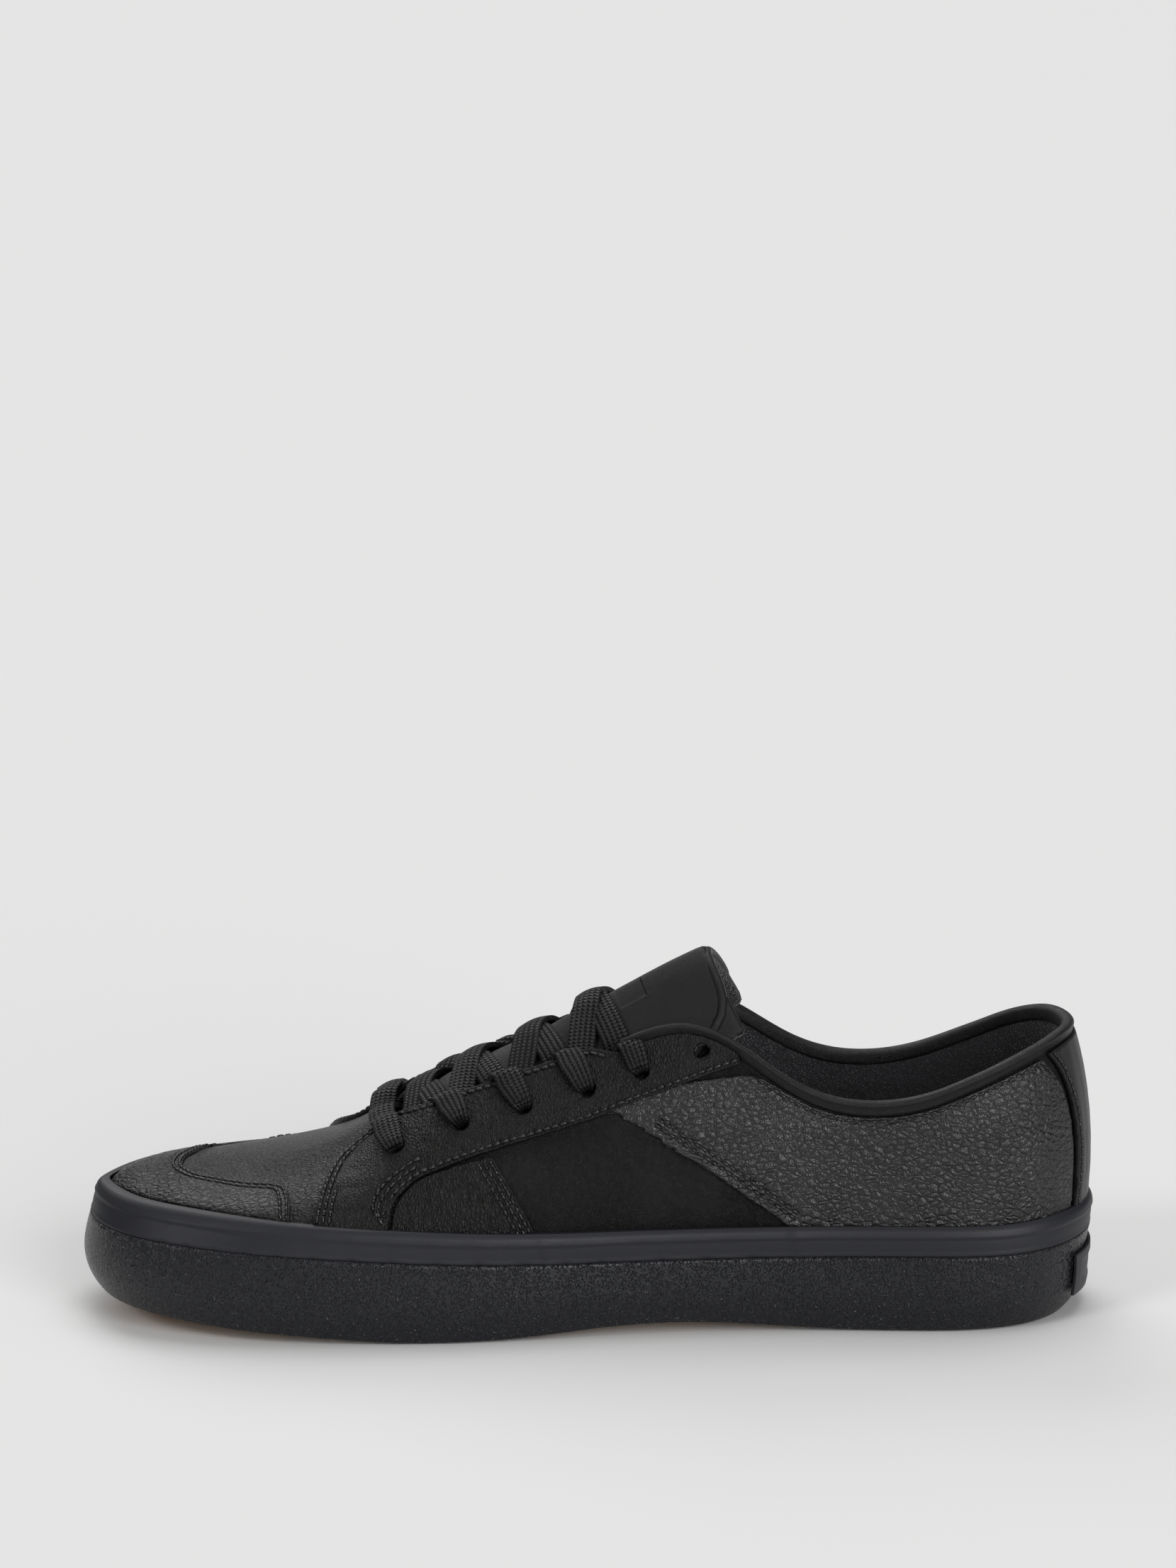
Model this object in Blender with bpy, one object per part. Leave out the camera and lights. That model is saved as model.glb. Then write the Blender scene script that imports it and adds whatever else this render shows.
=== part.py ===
"""Low skateboarding shoe, right foot: a hollow leather upper on a foxed rubber sole.

The toe points to -X, the inner (big toe) side to -Y, and the sole stands on Z = 0.
The shoe is worked out from one last: a surface that every piece of the upper is offset from.
Sizes are in metres, from named values in millimetres. Tables hold shares of those values.
"""

import math

import bmesh
import bpy
import numpy as np

MM = 0.001

# Driving sizes of the sole
SHOE_LENGTH = 298 * MM
BALL_WIDTH = 103 * MM
HEEL_WIDTH = 76 * MM
SIDE_HEIGHT = 31.5 * MM
TOE_SPRING = 7.4 * MM
ARCH_RISE = 3.4 * MM
RIM_SPRING = 6.1 * MM
RIM_HEEL_RISE = 1.5 * MM
SIDE_TUCK = 2.4 * MM
HEEL_TUCK = 5.5 * MM
TOE_TUCK = 4.5 * MM
TOE_LEAN = 2.4 * MM
TOE_STRIP_EXTRA = 1.0 * MM
FOOTBED_HEIGHT = 19 * MM
OUTSOLE_THICKNESS = 5 * MM
OUTSOLE_STAND = 0.6 * MM
FOXING_THICKNESS = 3.2 * MM
STRIP_HEIGHT = 8.3 * MM
STRIP_THICKNESS = 1.3 * MM
INSOLE_THICKNESS = 4 * MM
GROOVE_DEPTH = 1.5 * MM
GROOVE_WIDTH = 3 * MM
LABEL_WIDTH = 44 * MM
LABEL_THICKNESS = 1.0 * MM

# Driving sizes of the upper
LAST_TOE_INSET = 8.5 * MM
LAST_HEEL_INSET = 2.4 * MM
LAST_SIDE_INSET = 4.2 * MM
TOE_SWING = 5 * MM
MIDDLE_SHIFT = -2 * MM
INSTEP_HEIGHT = 110 * MM
HEEL_HEIGHT = 90 * MM
HEEL_LEAN = 6.8 * MM
RIDGE_SHIFT = 4 * MM
OUTER_DROP = 2 * MM
UPPER_WALL = 2.4 * MM
BINDING_HEIGHT = 3.6 * MM
BINDING_WIDTH = 4.8 * MM
PANEL_GAP = 0.5 * MM
SEAM_GAP = 0.5 * MM
EDGE_GAP = 0.8 * MM
TOE_CAP_THICKNESS = 0.8 * MM
SIDE_PANEL_THICKNESS = 0.8 * MM
QUARTER_THICKNESS = 1.1 * MM
EYESTAY_THICKNESS = 1.5 * MM
HEEL_STRIP_THICKNESS = 1.9 * MM
THROAT_HALF_GAP = 20 * MM
THROAT_SHIFT = -0.5 * MM
OUTER_EASE = 0.06
CAP_OUTER_DROP = 0.05
EYELET_DIAMETER = 4.6 * MM
EYELET_INSET = 12 * MM
TONGUE_WIDTH = 62 * MM
TONGUE_THICKNESS = 5 * MM
TONGUE_DEPTH = 3.5 * MM
LACE_WIDTH = 8 * MM
LACE_THICKNESS = 1.8 * MM
CLEARANCE = 0.3 * MM

# The two sides of the shoe
INNER, OUTER = -1, 1

# Plan outline: shares of the length, and of the width named by the row's place between heel and ball
OUTLINE = {
    "along": (0, 0.012, 0.035, 0.075, 0.13, 0.21, 0.30, 0.40, 0.50, 0.59, 0.67, 0.74, 0.80, 0.86, 0.91, 0.95, 0.98, 1),
    "inner": (0, 0.218, 0.350, 0.448, 0.484, 0.480, 0.468, 0.455, 0.452, 0.466, 0.476, 0.481, 0.472, 0.440,
              0.386, 0.314, 0.212, 0),
    "outer": (0, 0.218, 0.352, 0.455, 0.500, 0.508, 0.504, 0.492, 0.494, 0.508, 0.517, 0.519, 0.495, 0.447,
              0.380, 0.295, 0.190, 0),
}

# Last sections: ridge height as a share of the instep height, widest level as a share of the side
# height, and fullness, the power of the section's curve
LAST = {
    "along": (0, 0.05, 0.12, 0.22, 0.32, 0.40, 0.45, 0.50, 0.55, 0.60, 0.65, 0.70, 0.735, 0.77, 0.81, 0.85, 0.90,
              0.94, 0.96, 0.98, 0.99, 1),
    "ridge": (1.17, 1.165, 1.15, 1.11, 1.065, 1.015, 0.950, 0.877, 0.806, 0.740, 0.676, 0.584, 0.500, 0.448, 0.414,
              0.393, 0.381, 0.378, 0.376, 0.368, 0.360, 0.347),
    "widest": (1.45, 1.42, 1.35, 1.25, 1.18, 1.12, 1.10, 1.09, 1.08, 1.08, 1.08, 1.07, 1.06, 1.05, 1.03, 1.0,
               0.97, 0.94, 0.92, 0.89, 0.87, 0.85),
    "fullness": (2.0, 2.0, 2.0, 2.0, 1.95, 1.8, 1.65, 1.55, 1.5, 1.5, 1.5, 1.55, 1.65, 1.8, 2.0, 2.2, 2.35, 2.4,
                 2.4, 2.3, 2.2, 2.1),
}

# Collar line: share of the last's length, height as a share of the heel height
COLLAR = {
    "along": (0, 0.018, 0.031, 0.057, 0.081, 0.105, 0.129, 0.152, 0.175, 0.197, 0.219, 0.242, 0.264, 0.286, 0.308,
              0.326, 0.348, 0.370, 0.399, 0.4135),
    "height": (0.958, 0.955, 0.944, 0.919, 0.891, 0.861, 0.833, 0.804, 0.783, 0.771, 0.766, 0.769, 0.780, 0.804,
               0.838, 0.880, 0.932, 0.980, 1.012, 1.017),
}

# Throat edge: share of the last's length, half gap as a share of the named half gap
THROAT = {
    "along": (0.4436, 0.467, 0.493, 0.52, 0.5515, 0.5809, 0.6124, 0.6417, 0.6731, 0.69, 0.7047, 0.718, 0.728),
    "gap": (1.055, 1.04, 1.02, 0.985, 0.985, 0.98, 0.99, 0.98, 0.94, 0.86, 0.73, 0.50, 0.15),
}

# Lace holes: share of the last's length, way from the throat edge as a share of the named inset
EYELETS = {
    "along": (0.7019, 0.6373, 0.5748, 0.5104, 0.4562, 0.3958),
    "inset": (1.28, 1.0, 1.05, 1.1, 1.08, 0.75),
}

# How the strands of a crossing rise on their way from under one facing to the other's hole
LACE_RISE = {"way": (0, 0.15, 0.28, 0.45, 0.64, 0.80, 1)}

# Where each lace crossing comes out from under the facing: share of the last's length
CROSSING_STARTS = (0.687, 0.641, 0.580, 0.519)


def seam(along, rise):
    """The rows of a seam on the last: shares of its length, and of the way from its bottom to its ridge.

    A rise of 0 stands for the rim of the sole, and one of 2 or more for the edge of the opening: what is
    over 1 is how many edge gaps the seam stays below it.
    """
    return list(zip(along, rise))


TOE_CAP_SEAM = seam(
    along=(0.8095, 0.8095, 0.8135, 0.8212, 0.861, 0.9116, 0.926, 0.929),
    rise=(0, 0.361, 0.497, 0.553, 0.612, 0.757, 0.88, 1),
)
FACING_TOP = seam(
    along=(0.7868, 0.7848, 0.7794, 0.7723, 0.7622, 0.7442, 0.722, 0.7047, 0.69, 0.6731, 0.6417, 0.6124,
           0.5809, 0.5515, 0.5135, 0.5055, 0.4855, 0.47, 0.4436, 0.4145, 0.39, 0.37, 0.359),
    rise=(0, 0.3, 0.456, 0.589, 0.718, 0.794, 0.832, 2, 2, 2, 2, 2, 2, 2, 2, 2, 2, 2, 2, 2, 2, 2, 2),
)
FACING_FOOT = seam(
    along=(0.7104, 0.7082, 0.7039, 0.6954, 0.6826, 0.672, 0.658, 0.65, 0.6416, 0.626, 0.6105, 0.5949,
           0.5672, 0.5372, 0.506, 0.498, 0.482, 0.47, 0.4444, 0.4152, 0.3861, 0.368, 0.356),
    rise=(0, 0.285, 0.329, 0.368, 0.406, 0.418, 0.432, 0.44, 0.447, 0.459, 0.47, 0.478, 0.49, 0.501, 0.509,
          0.512, 0.519, 0.524, 0.531, 0.54, 0.553, 0.561, 0.567),
)
SIDE_PANEL_REAR = seam(
    along=(0.5628, 0.6062),
    rise=(0, 0.452),
)
QUARTER_FRONT = seam(
    along=(0.306, 0.3629, 0.4199, 0.4766),
    rise=(0, 0.23, 0.354, 0.499),
)
HEEL_STRIP_EDGE = seam(
    along=(0.0172, 0.0164, 0.0156, 0.0167, 0.0208, 0.0294, 0.035),
    rise=(0, 0.171, 0.257, 0.344, 0.432, 0.509, 2),
)

# The tongue's edge: share of the last's length, reach as a share of half the tongue's width
TONGUE_EDGE = {
    "along": (0.33, 0.36, 0.42, 0.50, 0.60, 0.70, 0.748),
    "reach": (0.84, 0.86, 0.93, 1.0, 1.0, 0.90, 0.72),
}
TONGUE_TOP = 0.397
TONGUE_CORNER = 0.350
THROAT_BASE = 0.728
BINDING_FRONT = 0.505


def spline(places, values):
    """A natural cubic through the points, as a function of one number."""
    x, y = np.array(places, float), np.array(values, float)
    h = np.diff(x)
    slope = np.diff(y) / h
    size = len(x)
    matrix, right = np.eye(size), np.zeros(size)
    for i in range(1, size - 1):
        matrix[i, i - 1 : i + 2] = h[i - 1], 2 * (h[i - 1] + h[i]), h[i]
        right[i] = 6 * (slope[i] - slope[i - 1])
    bend = np.linalg.solve(matrix, right)

    def at(t):
        i = int(min(max(np.searchsorted(x, t) - 1, 0), size - 2))
        a, b = x[i + 1] - t, t - x[i]
        cubic = (bend[i] * a**3 + bend[i + 1] * b**3) / (6 * h[i])
        return float(cubic + (y[i] / h[i] - bend[i] * h[i] / 6) * a + (y[i + 1] / h[i] - bend[i + 1] * h[i] / 6) * b)

    return at


def soft(t):
    """A smooth step from 0 to 1."""
    t = min(max(t, 0.0), 1.0)
    return t * t * (3 - 2 * t)


def station(along):
    """The station number, 0 at the heel and 1 at the toe, of a share of the length."""
    return math.acos(1 - 2 * min(max(along, 0.0), 1.0)) / math.pi


def share(u):
    """The share of the length at a station; stations crowd towards heel and toe."""
    return (1 - math.cos(math.pi * u)) / 2


def by_station(table, column):
    return spline([station(a) for a in table["along"]], table[column])


outline_inner = by_station(OUTLINE, "inner")
outline_outer = by_station(OUTLINE, "outer")
ridge_share = by_station(LAST, "ridge")
widest_share = by_station(LAST, "widest")
fullness_at = by_station(LAST, "fullness")
collar_share = by_station(COLLAR, "height")


def width_at(along):
    """The width that the outline's shares refer to: the heel's, growing into the ball's."""
    return HEEL_WIDTH + (BALL_WIDTH - HEEL_WIDTH) * soft((along - 0.22) / 0.45)


def swing(along):
    """Where the shoe's middle line runs; it swings to the inner side towards the toe."""
    return MIDDLE_SHIFT - TOE_SWING * max(0.0, (along - 0.72) / 0.28) ** 1.5


def sole_outline(u, side):
    """The plan point of the sole at its widest level."""
    along = share(u)
    half = (outline_inner if side == INNER else outline_outer)(u) * width_at(along)
    return np.array([SHOE_LENGTH / 2 - along * SHOE_LENGTH, swing(along) + side * half])


def sole_bottom(along):
    """Height of the sole's underside: flat at heel and forefoot, raised at arch and toe."""
    arch = ARCH_RISE * soft((along - 0.22) / 0.2) * (1 - soft((along - 0.42) / 0.19))
    return arch + TOE_SPRING * max(0.0, (along - 0.685) / 0.315)


def rim_top(along):
    """Height of the rim of the sole."""
    heel = RIM_HEEL_RISE * (1 - soft(along / 0.1))
    return SIDE_HEIGHT + heel + RIM_SPRING * soft((along - 0.50) / 0.50)


def footbed(along):
    """Height of the top of the midsole plate inside the upper."""
    return FOOTBED_HEIGHT + 0.8 * (rim_top(along) - SIDE_HEIGHT)


def last_section(u, side, samples=26):
    """Points of one side of the last's section, from the bottom of the upper to the ridge."""
    along = share(u)
    length = SHOE_LENGTH - LAST_TOE_INSET - LAST_HEEL_INSET
    x = SHOE_LENGTH / 2 - LAST_HEEL_INSET - along * length
    narrowing = 1 - 2 * LAST_SIDE_INSET / BALL_WIDTH
    half = (outline_inner if side == INNER else outline_outer)(u) * width_at(along) * narrowing
    middle = swing(along)
    bottom = footbed(along) + CLEARANCE
    widest = widest_share(u) * SIDE_HEIGHT
    top = ridge_share(u) * INSTEP_HEIGHT
    ridge_y = middle - RIDGE_SHIFT * soft((0.93 - along) / 0.25) * min(1.0, half / (0.3 * BALL_WIDTH))
    power = 2 / fullness_at(u)
    points = []
    for i in range(5):
        z = bottom + (widest - bottom) * i / 5
        tuck = 0.05 * ((widest - z) / (widest - bottom)) ** 2
        points.append([x, middle + side * half * (1 - tuck), z])
    for i in range(samples):
        angle = math.pi / 2 * i / (samples - 1)
        across, up = math.cos(angle) ** power if i < samples - 1 else 0.0, math.sin(angle) ** power
        points.append([x, ridge_y + (middle + side * half - ridge_y) * across, widest + (top - widest) * up])
    points = np.array(points)
    rise = (points[:, 2] - widest) / (HEEL_HEIGHT - widest)
    lean = HEEL_LEAN * np.clip(rise, -0.4, 1.6) ** 2
    points[:, 0] -= lean * (1 - soft(along / 0.40))
    return points


_sections = {}


def section(u, side):
    """The section and its running length, kept for reuse."""
    key = (round(u, 7), side)
    if key not in _sections:
        points = last_section(u, side)
        run = np.concatenate([[0], np.cumsum(np.linalg.norm(np.diff(points, axis=0), axis=1))])
        _sections[key] = points, run
    return _sections[key]


def on_last(u, s, side):
    """The point of the last at a station and a share s of the way from the bottom to the ridge."""
    points, run = section(u, side)
    return np.array([np.interp(s * run[-1], run, points[:, k]) for k in range(3)])


def last_normal(u, s, side):
    """The outward direction of the last there."""
    step = 0.004
    u0, u1 = max(u - step, 0.0), min(u + step, 1.0)
    s0, s1 = max(s - 0.02, 0.0), min(s + 0.02, 1.0)
    if u < step or u > 1 - step:
        along_u = np.array([0.0, side if u < step else -side, 0.0])
    else:
        along_u = on_last(u1, s, side) - on_last(u0, s, side)
    if s > 0.99 and step <= u <= 1 - step:
        along_s = on_last(u, s0, -side) - on_last(u, s0, side)
        along_s[0] = along_s[2] = 0.0
    else:
        along_s = on_last(u, s1, side) - on_last(u, s0, side)
    normal = np.cross(along_u, along_s) * side
    return normal / np.linalg.norm(normal)


def s_at_height(u, side, z):
    points, run = section(u, side)
    return float(np.interp(z, points[:, 2], run) / run[-1])


def s_at_reach(u, side, y):
    """The share at which the last is y from the middle plane, above its widest level."""
    points, run = section(u, side)
    upper = slice(5, None)
    reach = points[upper, 1] * side
    return float(np.interp(-y, -reach, run[upper]) / run[-1])


def opening_edges():
    """For each side, the share s of the collar and throat edge as a function of the station."""
    edges = {}
    for side in (INNER, OUTER):
        places, values = [], []
        for along in COLLAR["along"]:
            u = station(along)
            drop = OUTER_DROP * soft(along / 0.12) if side == OUTER else 0.0
            places.append(u)
            values.append(s_at_height(u, side, collar_share(u) * HEEL_HEIGHT - drop))
        for along, gap in zip(THROAT["along"], THROAT["gap"]):
            u = station(along)
            places.append(u)
            values.append(s_at_reach(u, side, gap * (THROAT_HALF_GAP + side * THROAT_SHIFT) + side * MIDDLE_SHIFT))
        edges[side] = spline(places, values)
    return edges


EDGE = opening_edges()
U_BASE = station(THROAT_BASE)
U_BINDING = station(BINDING_FRONT)
BINDING_STEP = 0.012
STATIONS = sorted([*np.linspace(0.0, U_BASE, 24), U_BINDING, U_BINDING - BINDING_STEP,
                   *np.linspace(U_BASE, 1.0, 14)[1:], 0.987])


def edge_s(u, side, below=0.0):
    """The share of the opening's edge, a distance below it."""
    run = section(u, side)[1][-1]
    return EDGE[side](min(u, U_BASE)) - below / run


def wall_edge_s(u, side):
    """The edge of the upper's own wall, which stops under the binding where there is one."""
    return edge_s(u, side, BINDING_HEIGHT * min(1.0, max(0.0, (U_BINDING - u) / BINDING_STEP)))


def sole_inset(point_u, side, inset):
    """The sole's outline moved inwards in plan."""
    step = 0.01
    low, high = max(point_u - step, 0.0), min(point_u + step, 1.0)
    if point_u < 1e-6 or point_u > 1 - 1e-6:
        inward = np.array([-1.0 if point_u < 0.5 else 1.0, 0.0])
    else:
        run = sole_outline(high, side) - sole_outline(low, side)
        inward = np.array([run[1], -run[0]]) * side
        inward = -inward / np.linalg.norm(inward)
        if inward[1] * side > 0:
            inward = -inward
    return sole_outline(point_u, side) + inward * inset


def ends_blend(u, sides, heel, toe):
    """A value that is one thing along the sides and others round the heel and the toe."""
    along = share(u)
    return sides + (heel - sides) * (1 - soft(along / 0.16)) + (toe - sides) * soft((along - 0.80) / 0.20)


def ring(place, first=0.0, last=1.0):
    """A closed loop: the inner side from heel to toe, then the outer side back to the heel."""
    stations = [first] + [u for u in STATIONS if first + 0.01 < u < last - 0.01] + [last]
    loop = [place(u, INNER) for u in stations]
    loop += [place(u, OUTER) for u in stations[-2:0:-1]]
    return loop


def material(name, colour, roughness):
    """A plain finish for a piece."""
    made = bpy.data.materials.new(name)
    made.use_nodes = True
    shader = made.node_tree.nodes["Principled BSDF"]
    shader.inputs["Base Color"].default_value = (*colour, 1)
    shader.inputs["Roughness"].default_value = roughness
    shader.inputs["Metallic"].default_value = 0
    return made


def add_mesh(name, points, faces, finish, collection="skate_shoe"):
    """A named object from points and faces, with its normals made to agree."""
    mesh = bpy.data.meshes.new(name)
    mesh.from_pydata([tuple(float(c) for c in p) for p in points], [], faces)
    shape = bmesh.new()
    shape.from_mesh(mesh)
    bmesh.ops.remove_doubles(shape, verts=shape.verts, dist=0.00001)
    bmesh.ops.recalc_face_normals(shape, faces=shape.faces)
    if shape.calc_volume(signed=True) < 0:
        bmesh.ops.reverse_faces(shape, faces=shape.faces)
    shape.to_mesh(mesh)
    shape.free()
    mesh.shade_smooth()
    made = bpy.data.objects.new(name, mesh)
    made.data.materials.append(finish)
    bpy.data.collections[collection].objects.link(made)
    return made


def capped_rings(name, rings, finish):
    """A solid from closed loops with the same count, its two ends closed by strips across the shoe."""
    count = len(rings[0])
    points = [p for loop in rings for p in loop]
    faces = []
    for r in range(len(rings) - 1):
        for i in range(count):
            j = (i + 1) % count
            faces.append((r * count + i, r * count + j, (r + 1) * count + j, (r + 1) * count + i))
    for r in (0, len(rings) - 1):
        for i in range(count // 2):
            a, b = r * count + i, r * count + i + 1
            c, d = r * count + (count - i - 1) % count, r * count + (count - i) % count
            faces.append([v for k, v in enumerate((a, b, c, d)) if v not in (a, b, c, d)[:k]])
    return add_mesh(name, points, faces, finish)


def tube_rings(name, rings, finish):
    """A solid ring from closed loops, the last joined back to the first."""
    count = len(rings[0])
    points = [p for loop in rings for p in loop]
    faces = []
    for r in range(len(rings)):
        nxt = (r + 1) % len(rings)
        for i in range(count):
            j = (i + 1) % count
            faces.append((r * count + i, r * count + j, nxt * count + j, nxt * count + i))
    return add_mesh(name, points, faces, finish)


def grid_solid(name, under, over, finish):
    """A plate between two grids of points with the same rows and columns."""
    rows, columns = len(under), len(under[0])
    points = [p for grid in (under, over) for row in grid for p in row]
    size = rows * columns
    faces = []
    for r in range(rows - 1):
        for c in range(columns - 1):
            a = r * columns + c
            faces.append((a, a + 1, a + columns + 1, a + columns))
            faces.append((size + a, size + a + columns, size + a + columns + 1, size + a + 1))
    border = [c for c in range(columns)]
    border += [r * columns + columns - 1 for r in range(1, rows)]
    border += [(rows - 1) * columns + c for c in range(columns - 2, -1, -1)]
    border += [r * columns for r in range(rows - 2, 0, -1)]
    for k, a in enumerate(border):
        b = border[(k + 1) % len(border)]
        faces.append((a, size + a, size + b, b))
    return add_mesh(name, points, faces, finish)


def wall_point(u, side, level):
    """A point of the sole's side wall: level 0 at its foot, 1 just under the strip."""
    along = share(u)
    low, high = sole_bottom(along), rim_top(along) - STRIP_HEIGHT
    tuck = ends_blend(u, SIDE_TUCK, HEEL_TUCK, TOE_TUCK)
    lean = ends_blend(u, 0.5 * MM, 0.3 * MM, TOE_LEAN)
    inset = tuck * max(0.0, 1 - level / 0.5) ** 2.2 + lean * soft((level - 0.6) / 0.4)
    inset += ends_blend(u, 0.0, LABEL_THICKNESS + CLEARANCE, 0.0) * (1 - soft((level - 0.78) / 0.2))
    x, y = sole_inset(u, side, inset)
    return np.array([x, y, low + (high - low) * level])


def rim_point(u, side, drop, out):
    """A point beside the last, a drop below the rim's top and a distance out from the upper."""
    z = rim_top(share(u)) - drop
    s = s_at_height(u, side, z)
    flat = last_normal(u, s, side)
    flat[2] = max(flat[2], 0.0) * 0.3
    flat /= np.linalg.norm(flat)
    point = on_last(u, s, side) + flat * out
    point[2] = z
    return point


def build_sole(rubber, gum, cloth):
    """Outsole sheet, sole body with its raised rim, the strip round its top, insole and label."""
    recess = OUTSOLE_THICKNESS

    def foot(u, side, inset, z):
        x, y = sole_inset(u, side, ends_blend(u, SIDE_TUCK, HEEL_TUCK, TOE_TUCK) + inset)
        return np.array([x, y, z])

    inner_out = CLEARANCE + 0.1 * MM
    rings = [
        ring(lambda u, side: foot(u, side, FOXING_THICKNESS, sole_bottom(share(u)) + OUTSOLE_STAND + recess)),
        ring(lambda u, side: foot(u, side, FOXING_THICKNESS, sole_bottom(share(u)) + OUTSOLE_STAND)),
    ]
    for level in (0.0, 0.10, 0.26, 0.52, 0.78, 1.0):
        stand = OUTSOLE_STAND * (1 - level)
        rings.append(ring(lambda u, side, v=level, a=stand: wall_point(u, side, v) + [0, 0, a]))
    for drop, out in ((1.0, 0.6), (0.5, 0.6), (0.07, 0.6), (0.07, 0), (0.35, 0), (0.7, 0), (1.1, 0)):
        rings.append(ring(lambda u, side, d=drop, o=out: rim_point(u, side, STRIP_HEIGHT * d, inner_out + o * MM)))
    rings += [
        ring(lambda u, side: footbed_point(u, side, inner_out)),
    ]
    capped_rings("foxed_midsole", rings, rubber)

    sheet_inset = FOXING_THICKNESS + CLEARANCE
    grooves = groove_stations()
    rings = [
        sheet_ring(grooves, lambda u, side: foot(u, side, sheet_inset, sole_bottom(share(u))), True),
        sheet_ring(grooves, lambda u, side: foot(
            u, side, sheet_inset, sole_bottom(share(u)) + OUTSOLE_STAND + recess - CLEARANCE), False),
    ]
    capped_rings("outsole", rings, gum)

    strip = [
        ring(lambda u, side: rim_point(u, side, STRIP_HEIGHT - CLEARANCE, inner_out + 0.9 * MM + CLEARANCE)),
        ring(lambda u, side: shifted_in(wall_point(u, side, 1.0), u, side, 0.2 * MM) + [0, 0, CLEARANCE]),
        ring(lambda u, side: strip_middle(u, side)),
        ring(lambda u, side: rim_point(u, side, 0.8 * MM, inner_out + 0.9 * MM + CLEARANCE + strip_thickness(u))),
        ring(lambda u, side: rim_point(u, side, 0.0, inner_out + 0.9 * MM + strip_thickness(u) * 0.6)),
        ring(lambda u, side: rim_point(u, side, 0.0, inner_out)),
        ring(lambda u, side: rim_point(u, side, CLEARANCE, inner_out)),
        ring(lambda u, side: rim_point(u, side, CLEARANCE, inner_out + 0.9 * MM + CLEARANCE)),
        ring(lambda u, side: rim_point(u, side, STRIP_HEIGHT * 0.5, inner_out + 0.9 * MM + CLEARANCE)),
    ]
    tube_rings("foxing_strip", strip, rubber)

    low, high = CLEARANCE, CLEARANCE + INSOLE_THICKNESS
    gap = UPPER_WALL + 2 * CLEARANCE
    rings = [
        ring(lambda u, side: footbed_point(u, side, -gap) + [0, 0, low], 0.03, 0.965),
        ring(lambda u, side: footbed_point(u, side, -gap) + [0, 0, high], 0.03, 0.965),
    ]
    capped_rings("insole", rings, cloth)
    build_label(rubber)


def shifted_in(point, u, side, inset):
    """A wall point moved inwards in plan."""
    moved = sole_inset(u, side, inset) - sole_outline(u, side)
    return point + np.array([moved[0], moved[1], 0.0])


def strip_thickness(u):
    """The strip is doubled at the toe."""
    return STRIP_THICKNESS + ends_blend(u, 0.0, 0.0, TOE_STRIP_EXTRA)


def strip_middle(u, side):
    """The strip's face three millimetres under its top, where the wall's edge shows as a step."""
    low = shifted_in(wall_point(u, side, 1.0), u, side, 0.2 * MM)
    high = rim_point(u, side, 0.8 * MM, CLEARANCE + 0.9 * MM + CLEARANCE + strip_thickness(u))
    middle = low + (high - low) * 0.6
    out = sole_outline(u, side) - sole_inset(u, side, 0.5 * MM)
    return middle + np.array([out[0], out[1], 0.0])


def footbed_point(u, side, out):
    """A point on the midsole plate, a distance out from the upper's foot."""
    point = on_last(u, 0.0, side)
    flat = last_normal(u, 0.02, side)
    flat[2] = 0.0
    flat /= np.linalg.norm(flat)
    point = point + flat * out
    point[2] = footbed(share(u))
    return point


def groove_stations():
    """Stations of the tread's cross grooves as (from, to) pairs, at heel and forefoot."""
    pairs = []
    for first, last, count in ((0.06, 0.24, 4), (0.56, 0.86, 6)):
        for i in range(count):
            middle = first + (last - first) * (i + 0.5) / count
            half = GROOVE_WIDTH / SHOE_LENGTH / 2
            pairs.append((station(middle - half), station(middle + half)))
    return pairs


def sheet_ring(grooves, place, cut):
    """The outsole's loop, with steps up at the cross grooves when cut."""
    edges = [u for u in STATIONS if not any(a - 0.004 < u < b + 0.004 for a, b in grooves)]
    marks = [(u, 0.0) for u in edges]
    small = 0.0006
    for a, b in grooves:
        marks += [(a, 0.0), (a + small, 1.0), (b - small, 1.0), (b, 0.0)]
    marks.sort()

    def lifted(u, side, lift):
        point = place(u, side)
        point[2] += lift * GROOVE_DEPTH if cut else 0.0
        return point

    loop = [lifted(u, INNER, lift) for u, lift in marks]
    return loop + [lifted(u, OUTER, lift) for u, lift in marks[-2:0:-1]]


def build_label(rubber):
    """The bare rubber patch on the back of the side wall."""
    under, over = [], []
    columns, rows = 9, 3
    for r in range(rows):
        level = 0.26 + 0.52 * r / (rows - 1)
        low, high = [], []
        for c in range(columns):
            reach = (2 * c / (columns - 1) - 1) * LABEL_WIDTH / 2
            side = INNER if reach < 0 else OUTER
            u = heel_station(abs(reach), sole_outline)
            point = wall_point(u, side, level)
            low.append(shifted_in(point, u, side, -CLEARANCE))
            high.append(shifted_in(point, u, side, -CLEARANCE - LABEL_THICKNESS))
        under.append(low)
        over.append(high)
    grid_solid("heel_label", under, over, rubber)


def heel_station(reach, outline):
    """The station that lies a given way round from the middle of the heel."""
    run, u, step = 0.0, 0.0, 0.002
    before = np.array(outline(0.0, INNER), float)
    while run < reach and u < 0.5:
        u += step
        now = np.array(outline(u, INNER), float)
        run += float(np.linalg.norm(now - before))
        before = now
    return u


def seam_point(row, side):
    """The station and rise of a row of a seam table."""
    along, rise = row
    u = station(along)
    if rise == 0:
        return u, s_at_height(u, side, rim_top(along) + SEAM_GAP)
    if rise >= 2:
        run = section(u, side)[1][-1]
        return u, wall_edge_s(u, side) - (rise - 1) * EDGE_GAP / run
    ease = OUTER_EASE * soft((rise - 0.45) / 0.3) * soft((0.95 - rise) / 0.1) if side == OUTER else 0.0
    return u, rise - ease


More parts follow.
